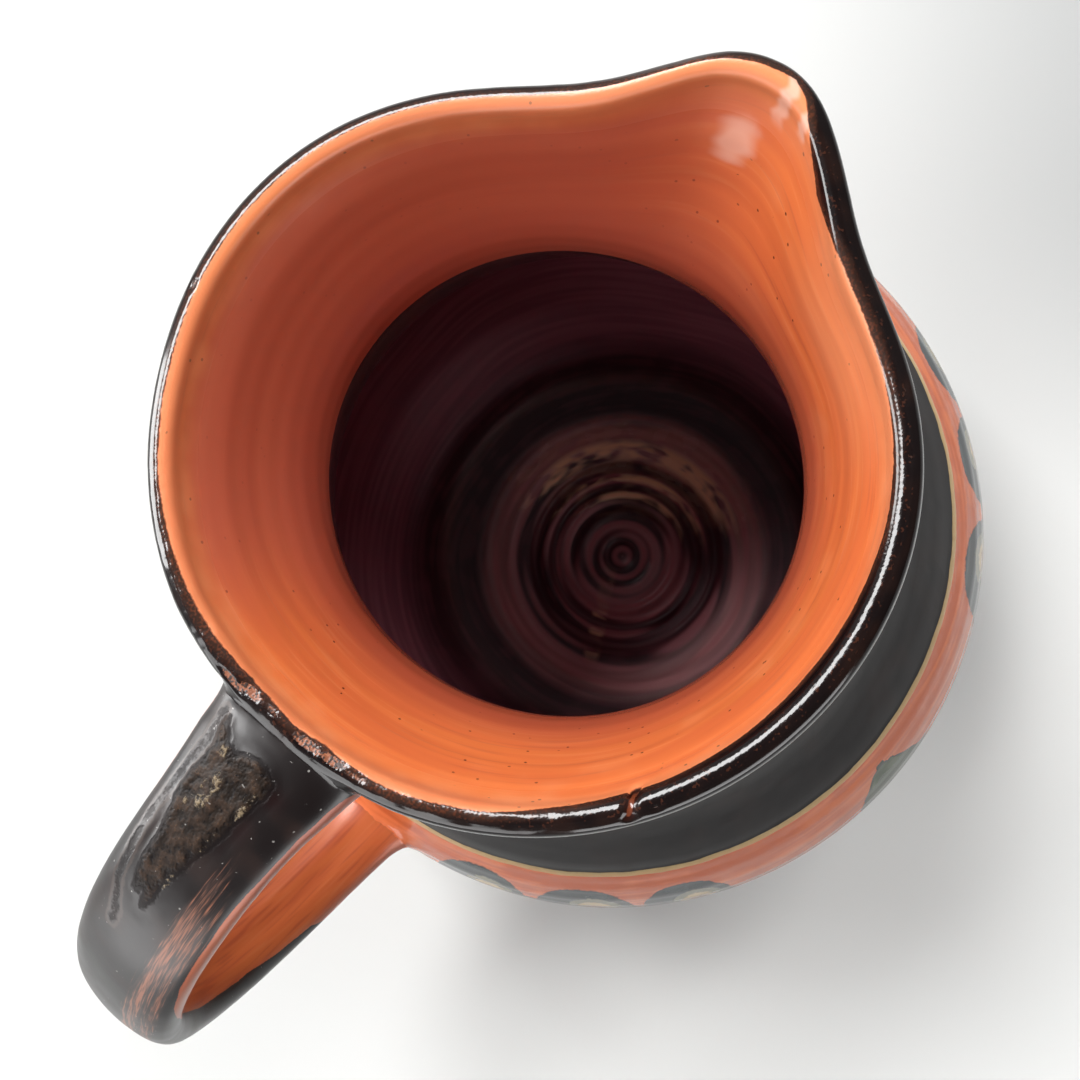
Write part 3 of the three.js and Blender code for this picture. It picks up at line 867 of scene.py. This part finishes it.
class Graph:
    def __init__(self, name):
        self.mat = bpy.data.materials.new(name)
        self.mat.use_nodes = True
        self.t = self.mat.node_tree
        self.t.nodes.clear()
        self.seen = {}

    def node(self, kind, **props):
        n = self.t.nodes.new(kind)
        for k, v in props.items():
            setattr(n, k, v)
        return n

    def put(self, sock, v):
        if isinstance(v, Val):
            self.t.links.new(v.s, sock)
        else:
            sock.default_value = v

    def math(self, op, a, b=None, c=None, clamp=False):
        n = self.node("ShaderNodeMath", operation=op, use_clamp=clamp)
        for i, v in enumerate((a, b, c)):
            if v is not None:
                self.put(n.inputs[i], v)
        return Val(self, n.outputs[0])

    def attr(self, name):
        if name not in self.seen:
            n = self.node("ShaderNodeAttribute", attribute_type="GEOMETRY", attribute_name=name)
            self.seen[name] = Val(self, n.outputs["Fac"])
        return self.seen[name]

    def step(self, x, a, b, lo=0.0, hi=1.0):
        n = self.node("ShaderNodeMapRange", interpolation_type="SMOOTHSTEP", clamp=True)
        for i, v in enumerate((x, a, b, lo, hi)):
            self.put(n.inputs[i], v)
        return Val(self, n.outputs[0])

    def vec(self, x, y, z):
        n = self.node("ShaderNodeCombineXYZ")
        for i, v in enumerate((x, y, z)):
            self.put(n.inputs[i], v)
        return Val(self, n.outputs[0])

    def noise(self, vector, scale=1.0, detail=2.0, rough=0.5, warp=0.0):
        n = self.node("ShaderNodeTexNoise")
        self.put(n.inputs["Vector"], vector)
        n.inputs["Scale"].default_value = scale
        n.inputs["Detail"].default_value = detail
        n.inputs["Roughness"].default_value = rough
        n.inputs["Distortion"].default_value = warp
        return Val(self, n.outputs[0])

    def cells(self, vector, scale=1.0, feature="F1", random=1.0):
        n = self.node("ShaderNodeTexVoronoi", feature=feature, voronoi_dimensions="2D")
        self.put(n.inputs["Vector"], vector)
        n.inputs["Scale"].default_value = scale
        n.inputs["Randomness"].default_value = random
        return n

    def mix(self, f, a, b):
        n = self.node("ShaderNodeMix", data_type="RGBA")
        self.put(n.inputs[0], f)
        self.put(n.inputs[6], a if isinstance(a, Val) else (*a, 1.0))
        self.put(n.inputs[7], b if isinstance(b, Val) else (*b, 1.0))
        return Val(self, n.outputs[2])

    def blend(self, f, a, b):
        n = self.node("ShaderNodeMix", data_type="FLOAT")
        self.put(n.inputs[0], f)
        self.put(n.inputs[2], a)
        self.put(n.inputs[3], b)
        return Val(self, n.outputs[0])


def lin(r, g, b):
    """A colour given as 0-255 display values."""
    def one(c):
        c /= 255.0
        return c / 12.92 if c <= 0.04045 else ((c + 0.055) / 1.055) ** 2.4
    return (one(r), one(g), one(b))


class Surface(Graph):
    """The coordinates and unevenness that every part of the glaze shares."""

    def __init__(self, name):
        super().__init__(name)
        tc = self.node("ShaderNodeTexCoord")
        sc = self.node("ShaderNodeVectorMath", operation="SCALE")
        self.t.links.new(tc.outputs["Object"], sc.inputs[0])
        sc.inputs["Scale"].default_value = 1000.0
        self.pos = Val(self, sc.outputs[0])
        sep = self.node("ShaderNodeSeparateXYZ")
        self.t.links.new(sc.outputs[0], sep.inputs[0])
        self.x, self.y, self.z = (Val(self, sep.outputs[i]) for i in range(3))
        self.s, self.low, self.wide, self.cloud = (self.attr(k) for k in ("prof", "low", "wide", "cloud"))

    def flat(self, ku, kv):
        """The flat map of the piece, stretched by a factor each way."""
        uv = self.node("ShaderNodeUVMap", uv_map="OFBake")
        m = self.node("ShaderNodeVectorMath", operation="MULTIPLY")
        self.t.links.new(uv.outputs[0], m.inputs[0])
        m.inputs[1].default_value = (ku, kv, 0.0)
        return Val(self, m.outputs[0])

    def streaks(self, detail=1.0):
        """Uneven lines round the pot, as the wheel leaves them."""
        return self.noise(self.vec(self.x / 30.0, self.y / 30.0, self.attr("turns")), 1.0, detail, 0.6) - 0.5

    def finish(self, color, rough, height, index=1.45, spec=None):
        bump = self.node("ShaderNodeBump")
        bump.inputs["Strength"].default_value = 1.0
        bump.inputs["Distance"].default_value = 0.001
        self.put(bump.inputs["Height"], height)
        sh = self.node("ShaderNodeBsdfPrincipled")
        self.put(sh.inputs["Base Color"], color)
        self.put(sh.inputs["Roughness"], rough)
        self.t.links.new(bump.outputs[0], sh.inputs["Normal"])
        sh.inputs["IOR"].default_value = index
        if spec is not None:
            self.put(sh.inputs["Specular IOR Level"], spec)
        out = self.node("ShaderNodeOutputMaterial")
        self.t.links.new(sh.outputs[0], out.inputs[0])
        return self.mat


def outside_glaze():
    """Iron-black shoulder, cream lines and the orange band with painted eyes and leaves."""
    g = Surface("glaze_outside")
    x, y, z, s, low = g.x, g.y, g.z, g.s, g.low
    n1 = g.noise(g.pos, 0.9, 1.0, 0.6) - 0.5
    streak = g.streaks(0.0)
    az = g.math("ARCTAN2", y, x) * (180 / math.pi)
    black = g.mix(g.step(low * 0.5 + streak * 0.4, -0.1, 0.35), BLACK, BLACK_BROWN)
    zz = z + n1 * 0.5 + low * 0.5
    band = g.mix(g.step(streak + low * 0.3 + g.cloud * 0.3, -0.25, 0.3), BAND_DEEP, BAND)
    leaf, vein, eye, heart = g.attr("leaf"), g.attr("vein"), g.attr("eye"), g.attr("heart")
    leaf_c = g.mix(g.step(low + streak * 0.5, -0.4, 0.4), LEAF, LEAF_PALE)
    leaf_c = g.mix(g.step(vein + n1 * 0.5, 0.75, 0.35), leaf_c, LEAF_DARK)
    leaf_c = g.mix(g.step(leaf + n1 * 0.10, 0.84, 0.92), leaf_c, LEAF_DARK)
    band = g.mix(g.step(leaf + n1 * 0.08, 1.03, 0.98), band, leaf_c)
    eye_c = g.mix(g.step(low * 0.6 + n1 * 0.4, -0.3, 0.4), SLATE, SLATE_PALE)
    eye_c = g.mix(g.step(heart + n1 * 0.14, 1.06, 0.97), eye_c, CREAM_GREEN)
    eye_c = g.mix(g.step(heart + n1 * 0.16, 0.76, 0.64), eye_c, CREAM)
    eye_c = g.mix(g.step(heart + n1 * 0.16, 0.40, 0.28), eye_c, EYE_HEART)
    band = g.mix(g.step(eye + n1 * 0.07, 1.03, 0.985), band, eye_c)
    line = g.step(g.math("ABSOLUTE", z - LINE_Z + low * 0.3), 0.85, 0.55)
    line2 = g.step(g.math("ABSOLUTE", z - BAND_LOW + low * 0.5), 1.2, 0.8)
    du = g.math("SUBTRACT", g.math("FRACT", az / 6.0), 0.5) * 6.0 * (math.pi / 180 * 88)
    dot = g.math("SQRT", du * du + (z - 55.5) * (z - 55.5))
    band = g.mix(g.step(dot + n1 * 0.5, 2.0, 1.6), band, CREAM)
    body = g.mix(g.step(zz, LINE_Z - 0.3, LINE_Z + 0.3), band, black)
    body = g.mix(g.step(zz, BAND_LOW + 0.3, BAND_LOW - 0.3), body, black)
    lines = g.math("MAXIMUM", line, line2)
    body = g.mix(lines * (0.86 + n1 * 0.3), body, CREAM_LINE)
    bare = g.step(z + n1 * 0.9 + low * 1.1, 5.0, 4.2)
    color = g.mix(bare, body, g.mix(g.step(n1, -0.2, 0.2), CLAY, CLAY_PALE))
    rough = g.blend(bare, 0.13 + low * 0.03 + n1 * 0.03, 0.85)
    h = low * 0.020 + lines * 0.03 + g.step(eye, 1.02, 0.98) * 0.02
    return g.finish(color, rough, h, 1.36)


def slip_color(g, streak):
    """Orange slip under a clear glaze, brushed while the pot turned."""
    fine = g.noise(g.vec(g.x / 14.0, g.y / 14.0, g.s / 0.55), 1.0, 0.0, 0.6) - 0.5
    slip = g.mix(g.step(streak * 0.8 + g.wide * 0.22 + g.cloud * 0.25, -0.36, 0.36), ORANGE_DEEP, ORANGE)
    slip = g.mix(g.step(fine + streak * 0.5, 0.05, 0.36) * 0.20, slip, ORANGE_PALE)
    slip = g.mix(g.step(fine - streak * 0.6 + g.cloud * 0.15, 0.14, 0.40) * 0.28, slip, ORANGE_BROWN)
    slip = g.mix(g.step(g.low * 0.4 + g.wide * 0.5, 0.10, 0.6) * 0.25, slip, ORANGE_PALE)
    cells = g.cells(g.flat(388.0, 1000.0), 0.17)
    pit = g.step(Val(g, cells.outputs["Distance"]), 0.060, 0.034) * g.step(g.low + fine * 0.5, 0.10, 0.20)
    return g.mix(pit * 0.85, slip, (0.05, 0.012, 0.006))


def neck_color(g, streak):
    """Orange slip down to the dark glaze of the inside, with painted shade down the neck and on its +Y side, and
    painted highlights at the lip and spout.
    """
    s, low = g.s, g.low
    slip = slip_color(g, streak)
    inside = g.mix(g.step(streak + low * 0.3, -0.15, 0.3), INSIDE_DARK, INSIDE)
    inside = g.mix(g.step(s, -40.0, -47.0), INSIDE_EDGE, inside)
    neck = g.mix(g.step(s + low * 1.3 + g.wide * 0.6, -38.6, -41.2), slip, inside)
    # painted shade: the slip darkens down the neck towards the throat
    neck = g.mix(g.step(s, -19.0, -35.0) * 0.85, neck, ORANGE_BROWN)
    # painted shade: a darker slip on the inner neck's +Y side, which faces away from the window
    neck = g.mix(g.step(g.y + g.x * 0.15, 0.0, 30.0) * g.step(s + low, -3.0, -9.0) * 0.85, neck, ORANGE_PAINTED_SHADE)
    # painted sheen: a paler band of slip all round just inside the lip
    neck = g.mix(g.step(s + low, -7.5, -3.5) * 0.35, neck, ORANGE_PAINTED_SHEEN)
    # painted highlight: a paler patch on the inner neck on the +X, -Y side, well below the lip
    neck = g.mix(g.step(g.x, 22.0, 42.0) * g.step(g.y, -8.0, -28.0) * g.step(s, -24.0, -14.0) * 0.40, neck, ORANGE_PAINTED_SHEEN)
    # painted highlight in the spout's channel: a pale blob and two pale streaks standing for reflections of the window
    dy, ds = g.y - 4.5, s + 11.6
    highlight_blob = g.step(g.math("SQRT", dy * dy + ds * ds) + streak * 2.0 + low * 1.2, 4.6, 1.8)
    run = g.step(g.math("ABSOLUTE", g.y + 0.4 + streak * 2.0), 1.7, 0.5) * g.step(s, -7.5, -4.5)
    highlight_streak_2 = g.step(g.math("ABSOLUTE", g.y + 4.9 + streak * 2.0), 1.4, 0.4) * g.step(s, -5.2, -3.8)
    spout_highlight = g.math("MAXIMUM", highlight_blob * 0.55, g.math("MAXIMUM", run, highlight_streak_2) * 0.60) * g.step(g.x, 45.0, 52.0)
    return g.mix(spout_highlight, neck, SPOUT_PAINTED_HIGHLIGHT)


def neck_glaze():
    """The orange neck below the lip."""
    g = Surface("glaze_neck")
    streak = g.streaks(0.0)
    rough = g.blend(g.step(g.s, -38.6, -41.2), 0.20 + g.low * 0.03, 0.22)
    return g.finish(neck_color(g, streak), rough, g.low * 0.020 + g.wide * 0.02)


def lip_glaze():
    """The dark dipped rim over the orange slip, with its chips."""
    g = Surface("glaze_lip")
    s, low = g.s, g.low
    n1 = g.noise(g.pos, 0.9, 1.0, 0.6) - 0.5
    streak = g.streaks(0.0)
    n3 = g.noise(g.pos, 2.2, 0.0, 0.6) - 0.5
    neck = neck_color(g, streak)
    edge = g.attr("edge")
    ragged = n1 * 0.5 + n3 * 0.35 + low * 0.3
    rim_thin = g.mix(g.step(streak * 0.4 + n3, -0.1, 0.3), RIM_THIN, RIM_RUST)
    lip_dark = g.step(edge + ragged * 0.6, -0.14, 0.18)
    thin = g.step(edge + ragged * 1.6, 2.2, 0.2)
    crest = g.step(g.math("ABSOLUTE", s + 0.4), 1.6, 0.8)
    black = g.mix(g.step(low * 0.5 + streak * 0.4, -0.1, 0.35), BLACK, BLACK_BROWN)
    lip = g.mix(thin * 0.75, black, rim_thin)
    rust = g.step(n1 + n3 * 0.7, 0.12, 0.28) * crest
    lip = g.mix(rust * 0.22, lip, RIM_RUST)
    color = g.mix(lip_dark, neck, lip)
    chip = g.step(g.attr("chip") + n3 * 0.30 + n1 * 0.35, 0.22, 0.40)
    clay = g.mix(g.step(n3 + n1 * 0.5, -0.15, 0.25), CLAY, CLAY_PALE)
    clay = g.mix(g.step(n3 - n1 * 0.7 + low * 0.2, -0.10, 0.06), clay, (0.030, 0.012, 0.008))
    color = g.mix(chip, color, clay)
    notch = g.attr("notch")
    color = g.mix(g.step(notch, 0.25, 0.6), color, (0.022, 0.006, 0.004))
    color = g.mix(g.step(notch, 0.75, 0.92) * g.step(s, -4.6, -3.4) * 0.8, color, (0.20, 0.05, 0.022))
    rough = g.blend(lip_dark, 0.32 + low * 0.03, 0.13)
    rough = g.blend(chip, rough, 0.5)
    h = low * 0.020 + (crest * 0.025 + g.attr("chip") * 0.20) * n3
    return g.finish(color, rough, h)


def inside_color(g, streak):
    inside = g.mix(g.step(streak + g.low * 0.3, -0.15, 0.3), INSIDE_DARK, INSIDE)
    # painted light: a far paler copy of the inner glaze on the wall from about z 24 to 112 mm, fading out towards 12
    # and 158 mm
    return g.mix(g.step(g.z, 158.0, 112.0) * g.step(g.z, 12.0, 24.0), inside, g.mix(g.step(streak, -0.25, 0.25), INSIDE_PAINTED_LIGHT, INSIDE_PAINTED_LIGHT_2))


def inside_glaze():
    """Purple-brown glaze of the inner wall, far paler on its lower part as painted light."""
    g = Surface("glaze_inside")
    streak = g.streaks(0.0)
    return g.finish(inside_color(g, streak), 0.24 + g.low * 0.04, g.low * 0.04)


def floor_glaze():
    """The floor of the inside: paler ridges, mottled beige, lightened as painted highlight and painted sheen."""
    g = Surface("glaze_floor")
    x, y, z, low = g.x, g.y, g.z, g.low
    streak = g.streaks(0.0)
    r = g.math("SQRT", x * x + y * y)
    fl = g.step(r, 47.0, 40.0) * g.step(z, 14.0, 10.0)
    turn = g.noise(g.vec(x / 30.0, y / 30.0, r / 3.0), 1.0, 0.0, 0.5)
    inside = g.mix(fl * g.step(turn, 0.35, 0.65), inside_color(g, streak), FLOOR_LIGHT)
    # a paler mauve ring on the floor from r 32 mm outwards: its tone partly real, partly a painted sheen
    inside = g.mix(fl * g.step(r, 32.0, 37.0) * 0.55, inside, FLOOR_RING_SHEEN)
    dark = g.math("MAXIMUM", g.step(g.math("ABSOLUTE", r - 27.9), 2.2, 1.0), g.step(g.math("ABSOLUTE", r - 22.1), 1.6, 0.6))
    inside = g.mix(fl * dark * 0.75, inside, INSIDE_DARK)
    spots = g.noise(g.vec(x / 8.0, y / 8.0, r / 3.0), 1.0, 1.0, 0.6) - 0.5
    # beige spots on the floor's ridges; gathering them on the +X +Y side and along a stripe on the -X side is a painted
    # highlight
    ridge = g.math("MAXIMUM", g.step(g.math("ABSOLUTE", r - 24.8), 1.6, 0.4), g.step(g.math("ABSOLUTE", r - 19.4), 1.5, 0.4))
    ridge = g.math("MAXIMUM", ridge, g.step(g.math("ABSOLUTE", r - 33.5), 4.0, 1.5))
    side = g.step(x * 0.86 + y * 0.50 + spots * 14.0, 8.0, 24.0)
    highlight_stripe = g.step(g.math("ABSOLUTE", y - x * 0.50 - 3.3), 3.6, 1.2) * g.step(x, -3.0, -7.0) * g.step(r, 36.0, 28.0) * 0.6
    beige_highlight = g.math("MAXIMUM", side, highlight_stripe) * (ridge * 0.85 + 0.15) * g.step(spots + g.cloud * 0.2, -0.24, 0.06)
    inside = g.mix(fl * beige_highlight, inside, FLOOR_BEIGE_HIGHLIGHT)
    return g.finish(inside, 0.24 + low * 0.04 + fl * beige_highlight * 0.2, low * 0.04)


def strap_glaze():
    """The strap: satin black with burst and worn places and painted glints outside, orange slip with painted shade
    inside.
    """
    g = Surface("glaze_strap")
    pos, low = g.pos, g.low
    n1 = g.noise(pos, 0.9, 1.0, 0.6) - 0.5
    along, across = g.attr("along"), g.attr("across")
    black = g.mix(g.step(low * 0.5 + g.cloud * 0.2, -0.1, 0.35), BLACK, BLACK_BROWN)
    broad = g.noise(g.vec(along / 26.0, across * 4.2, 0.4), 1.0, 1.0, 0.5) - 0.5
    fine = g.noise(g.vec(along / 12.0, across * 14.0, 0.0), 1.0, 0.0, 0.65) - 0.5
    slip = g.mix(g.step(broad, -0.2, 0.2), ORANGE_DEEP, ORANGE)
    slip = g.mix(g.step(fine, 0.05, 0.32) * 0.25, slip, ORANGE_PALE)
    slip = g.mix(g.step(fine + broad * 0.7, -0.04, -0.30) * 0.55, slip, ORANGE_BROWN)
    # painted shade: the inner face darkens towards its top root, where the strap meets the neck
    slip = g.mix(g.step(along, 46.0, 10.0) * 0.80, slip, ORANGE_BROWN)
    # painted shade: the strap's orange slip is taken halfway to a darker copy all along its inner face
    slip = g.mix(0.50, slip, STRAP_PAINTED_SHADE)
    wear = g.attr("wear")
    strands = g.noise(g.vec(along / 24.0, across * 21.0, 0.3), 1.0, 2.0, 0.6) - 0.5
    frets = g.noise(g.vec(along / 3.6, across * 40.0, 0.8), 1.0, 1.0, 0.6) - 0.5
    worn = g.step(strands + frets * 0.9 + wear * 0.44, 0.24, 0.62) * g.step(wear, 0.05, 0.3)
    halo = g.step(strands * 0.7 + frets * 0.5 + wear * 0.5, 0.08, 0.50) * g.step(wear, 0.03, 0.4)
    outer = g.mix(halo * 0.75, black, WORN_BROWN)
    outer = g.mix(worn * 0.74, outer, WORN)
    outer = g.mix(g.attr("smudge"), outer, (0.010, 0.002, 0.002))
    blister, crack, curl = g.attr("blister"), g.attr("crack"), g.attr("curl")
    bl_n = g.noise(pos, 0.55, 2.0, 0.65) - 0.5
    bl_f = g.noise(pos, 1.8, 1.0, 0.6) - 0.5
    burnt = g.mix(g.step(bl_n, -0.15, 0.2), (0.010, 0.006, 0.004), (0.032, 0.017, 0.010))
    burnt = g.mix(g.step(bl_f + bl_n * 0.5, 0.08, 0.3) * 0.7, burnt, (0.075, 0.038, 0.018))
    burnt = g.mix(g.step(bl_f - bl_n * 0.5, 0.08, 0.24), burnt, (0.004, 0.002, 0.002))
    in_b = g.step(blister + bl_n * 0.5 + bl_f * 0.3, -0.1, 0.15)
    outer = g.mix(in_b, outer, burnt)
    dark = g.math("MAXIMUM", g.step(g.math("ABSOLUTE", blister + bl_n * 0.9), 0.65, 0.25), g.step(crack + bl_n * 1.9 + bl_f * 0.9, 0.80, 0.20) * 0.7)
    outer = g.mix(dark * 0.62, outer, (0.005, 0.003, 0.003))
    outer = g.mix(g.step(g.math("ABSOLUTE", crack - 1.1 + bl_n * 0.9), 0.45, 0.1) * 0.5, outer, (0.060, 0.040, 0.032))
    in_c = g.step(curl + bl_f * 0.8, -0.05, 0.3)
    outer = g.mix(in_c * g.step(bl_f + bl_n * 0.4, -0.22, 0.0) * 0.9, outer, (0.26, 0.195, 0.120))
    # painted highlight: tiny pale grey glint dots scattered over the outer face
    cells = g.cells(g.flat(312.0, 257.0), 0.42)
    glint_speck = g.step(Val(g, cells.outputs["Distance"]), 0.10, 0.04) * g.step(n1 + bl_f * 0.5, 0.12, 0.22)
    outer = g.mix(glint_speck * 0.55, outer, (0.42, 0.40, 0.38))
    inner = g.step(g.attr("inner_face") + bl_f * 0.3, -0.12, 0.12)
    color = g.mix(inner, outer, slip)
    broken = g.math("MAXIMUM", in_b, dark) * (1.0 - inner)
    rough = g.blend(inner, 0.34 + low * 0.05, 0.34)
    rough = g.blend(broken, rough, 0.45 + bl_n * 0.3)
    h = low * 0.022 + (in_b * 0.26 + 0.012) * bl_n + in_c * 0.12 - dark * 0.06
    return g.finish(color, rough, h, spec=g.blend(broken, 0.5, 0.16))


def floor_material():
    """Pale matt paper with painted shade: dimmer well away from the jug on the side away from the window, and darker in
    a patch on the +X side.
    """
    g = Graph("pale_floor")
    tc = g.node("ShaderNodeTexCoord")
    sep = g.node("ShaderNodeSeparateXYZ")
    g.t.links.new(tc.outputs["Object"], sep.inputs[0])
    x, y = Val(g, sep.outputs[0]), Val(g, sep.outputs[1])
    d = g.math("SQRT", x * x + y * y)
    # painted shade: the paper dims beyond about 0.24 m on the -Y side
    far = g.step(d, 0.235, 0.40) * g.step(y, 0.06, -0.10)
    sh = g.node("ShaderNodeBsdfDiffuse")
    # painted shade: a darker patch of paper on the +X side, from about 0.1 m out
    side = g.step(x * 0.63 - y * 0.78, 0.030, 0.170) * g.step(x * 0.78 + y * 0.63, -0.03, 0.12) * g.step(d, 0.07, 0.12)
    paper = g.mix(side * 0.85, (0.725, 0.738, 0.738), (0.42, 0.43, 0.435))
    g.put(sh.inputs["Color"], g.mix(far, paper, (0.30, 0.305, 0.31)))
    out = g.node("ShaderNodeOutputMaterial")
    g.t.links.new(sh.outputs[0], out.inputs[0])
    return g.mat


ORANGE = (0.80, 0.207, 0.060)
ORANGE_DEEP = (0.70, 0.160, 0.052)
ORANGE_PALE = (0.88, 0.34, 0.15)
# painted sheen and highlight: paler copy of the orange slip
ORANGE_PAINTED_SHEEN = (0.93, 0.38, 0.19)
# painted shade: darker copy of the orange slip for the neck's shaded side
ORANGE_PAINTED_SHADE = (0.56, 0.130, 0.078)
# painted highlight colour for the spout
SPOUT_PAINTED_HIGHLIGHT = (0.95, 0.60, 0.48)
ORANGE_BROWN = (0.42, 0.085, 0.045)
BLACK = (0.0075, 0.0045, 0.0045)
BLACK_BROWN = (0.016, 0.0075, 0.006)
INSIDE_DARK = (0.055, 0.018, 0.024)
# painted light: paler copies of the inner glaze for the lower wall
INSIDE_PAINTED_LIGHT, INSIDE_PAINTED_LIGHT_2 = (0.26, 0.085, 0.115), (0.34, 0.115, 0.150)
INSIDE = (0.095, 0.028, 0.037)
INSIDE_EDGE = (0.16, 0.030, 0.022)
FLOOR_LIGHT = (0.40, 0.140, 0.158)
# paler mauve of the floor's outer ring, partly a painted sheen
FLOOR_RING_SHEEN = (0.60, 0.28, 0.28)
# beige of the floor's spots, used as painted highlight
FLOOR_BEIGE_HIGHLIGHT = (0.98, 0.56, 0.33)
BAND = (0.80, 0.205, 0.074)
BAND_DEEP = (0.64, 0.138, 0.048)
CREAM_LINE = (0.66, 0.46, 0.22)
CREAM = (0.60, 0.46, 0.27)
CREAM_GREEN = (0.26, 0.25, 0.18)
EYE_HEART = (0.50, 0.20, 0.09)
SLATE = (0.022, 0.030, 0.036)
SLATE_PALE = (0.052, 0.068, 0.076)
LEAF, LEAF_PALE, LEAF_DARK = (0.050, 0.072, 0.036), (0.10, 0.125, 0.070), (0.020, 0.028, 0.018)
RIM_THIN, RIM_RUST = (0.055, 0.026, 0.018), (0.17, 0.052, 0.026)
WORN, WORN_BROWN = (0.38, 0.138, 0.075), (0.095, 0.048, 0.036)
# painted shade: darker copy of the strap's orange slip
STRAP_PAINTED_SHADE = (0.30, 0.055, 0.018)
CLAY, CLAY_PALE = (0.23, 0.070, 0.028), (0.38, 0.140, 0.070)

jug, zone = make_jug()
for make in (outside_glaze, lip_glaze, inside_glaze, strap_glaze, neck_glaze, floor_glaze):
    jug.data.materials.append(make())
jug.data.polygons.foreach_set("material_index", zone.astype(np.int32))
jug.data.update()
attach(jug, "root")
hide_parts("jug")

# ---- floor ----
bm = bmesh.new()
bmesh.ops.create_grid(bm, x_segments=24, y_segments=24, size=6.0)
me = bpy.data.meshes.new("floor")
bm.to_mesh(me)
bm.free()
me.polygons.foreach_set("use_smooth", np.ones(len(me.polygons), bool))
floor = bpy.data.objects.new("floor", me)
bpy.context.scene.collection.objects.link(floor)
floor.data.materials.append(floor_material())


# ---- light ----
def softbox(name, toward, distance, size, radiance, target=(0, 0, 0.16), color=(1, 1, 1), glossy=True, diffuse=True):
    """An area light as seen from the target in a direction, with its brightness given as seen."""
    d = Vector(toward).normalized()
    data = bpy.data.lights.new(name, "AREA")
    data.shape = "RECTANGLE"
    data.size, data.size_y = size
    data.energy = radiance * math.pi * size[0] * size[1]
    data.color = color
    ob = bpy.data.objects.new(name, data)
    ob.location = Vector(target) + d * distance
    ob.rotation_mode = "QUATERNION"
    ob.rotation_quaternion = (-d).to_track_quat("-Z", "Y")
    ob.visible_glossy = glossy
    ob.visible_diffuse = diffuse
    ob.visible_camera = False
    bpy.context.scene.collection.objects.link(ob)
    return ob


def direction(azimuth, elevation):
    a, e = math.radians(azimuth), math.radians(elevation)
    return (math.cos(a) * math.cos(e), math.sin(a) * math.cos(e), math.sin(e))


softbox("window", direction(80, 61), 3.0, (1.30, 0.90), 24.5, color=(1.0, 0.99, 0.97), glossy=False)
softbox("window_pane", direction(83, 48), 3.0, (2.7, 1.30), 22.0, diffuse=False)
softbox("low_pane", direction(122, 14), 1.2, (0.60, 0.45), 14.0, diffuse=False)
softbox("second_window", direction(-4, 55), 3.0, (1.1, 1.1), 9.0, color=(1.0, 0.99, 0.97), glossy=False)
softbox("side_window", direction(178, 48), 2.2, (1.8, 1.2), 2.8, color=(1.0, 0.98, 0.96), glossy=False)
softbox("side_pane", direction(180, 10), 2.2, (2.6, 1.3), 4.3, diffuse=False)
softbox("paper_edge", direction(-113, 6), 0.95, (1.0, 0.46), 5.4, diffuse=False)
softbox("ceiling", direction(-90, 82), 2.2, (1.1, 1.0), 0.8, glossy=False)

world = bpy.data.worlds.new("room")
world.use_nodes = True
bg = next(n for n in world.node_tree.nodes if n.type == "BACKGROUND")
# the room: light towards the window, dim behind the viewer and straight above
wt = world.node_tree
wc = wt.nodes.new("ShaderNodeTexCoord")
ws = wt.nodes.new("ShaderNodeSeparateXYZ")
wm = wt.nodes.new("ShaderNodeMath")
wr, wz = wt.nodes.new("ShaderNodeValToRGB"), wt.nodes.new("ShaderNodeValToRGB")
wx = wt.nodes.new("ShaderNodeMix")
wx.data_type, wx.blend_type = "RGBA", "MULTIPLY"
wx.inputs[0].default_value = 1.0
wm.operation = "MULTIPLY_ADD"
wm.inputs[1].default_value, wm.inputs[2].default_value = 0.5, 0.5
wt.links.new(wc.outputs["Generated"], ws.inputs[0])
wt.links.new(ws.outputs[1], wm.inputs[0])
wt.links.new(wm.outputs[0], wr.inputs[0])
wt.links.new(ws.outputs[2], wz.inputs[0])
wt.links.new(wr.outputs[0], wx.inputs[6])
wt.links.new(wz.outputs[0], wx.inputs[7])
wt.links.new(wx.outputs[2], bg.inputs["Color"])
wr.color_ramp.elements[0].position, wr.color_ramp.elements[0].color = 0.0, (0.03, 0.03, 0.03, 1)
wr.color_ramp.elements[1].position, wr.color_ramp.elements[1].color = 1.0, (0.98, 1.0, 1.03, 1)
wz.color_ramp.elements[0].position, wz.color_ramp.elements[0].color = 0.78, (1.0, 1.0, 1.0, 1)
wz.color_ramp.elements[1].position, wz.color_ramp.elements[1].color = 0.96, (0.25, 0.25, 0.26, 1)
bg.inputs["Strength"].default_value = 0.40
scene = bpy.context.scene
scene.world = world
scene.view_settings.view_transform = "Standard"
scene.view_settings.look = "None"
scene.view_settings.exposure = 0.0
scene.view_settings.gamma = 1.0

# ---- camera ----
cam_data = bpy.data.cameras.new("camera")
cam_data.sensor_width = 36.0
cam_data.lens = 36.0 * 1250.0 / 1080.0
cam_data.clip_start, cam_data.clip_end = 0.005, 50.0
cam = bpy.data.objects.new("camera", cam_data)
right, up, back = Vector((0.62541, -0.76786, -0.13877)), Vector((0.78028, 0.61666, 0.10438)), Vector((0.00542, -0.17356, 0.98481))
m = Matrix((right, up, back)).transposed().to_4x4()
m.translation = Vector((-0.009975, -0.044805, 0.395292))
cam.rotation_mode = "QUATERNION"
cam.matrix_world = m
scene.collection.objects.link(cam)
scene.camera = cam

bpy.context.view_layer.update()
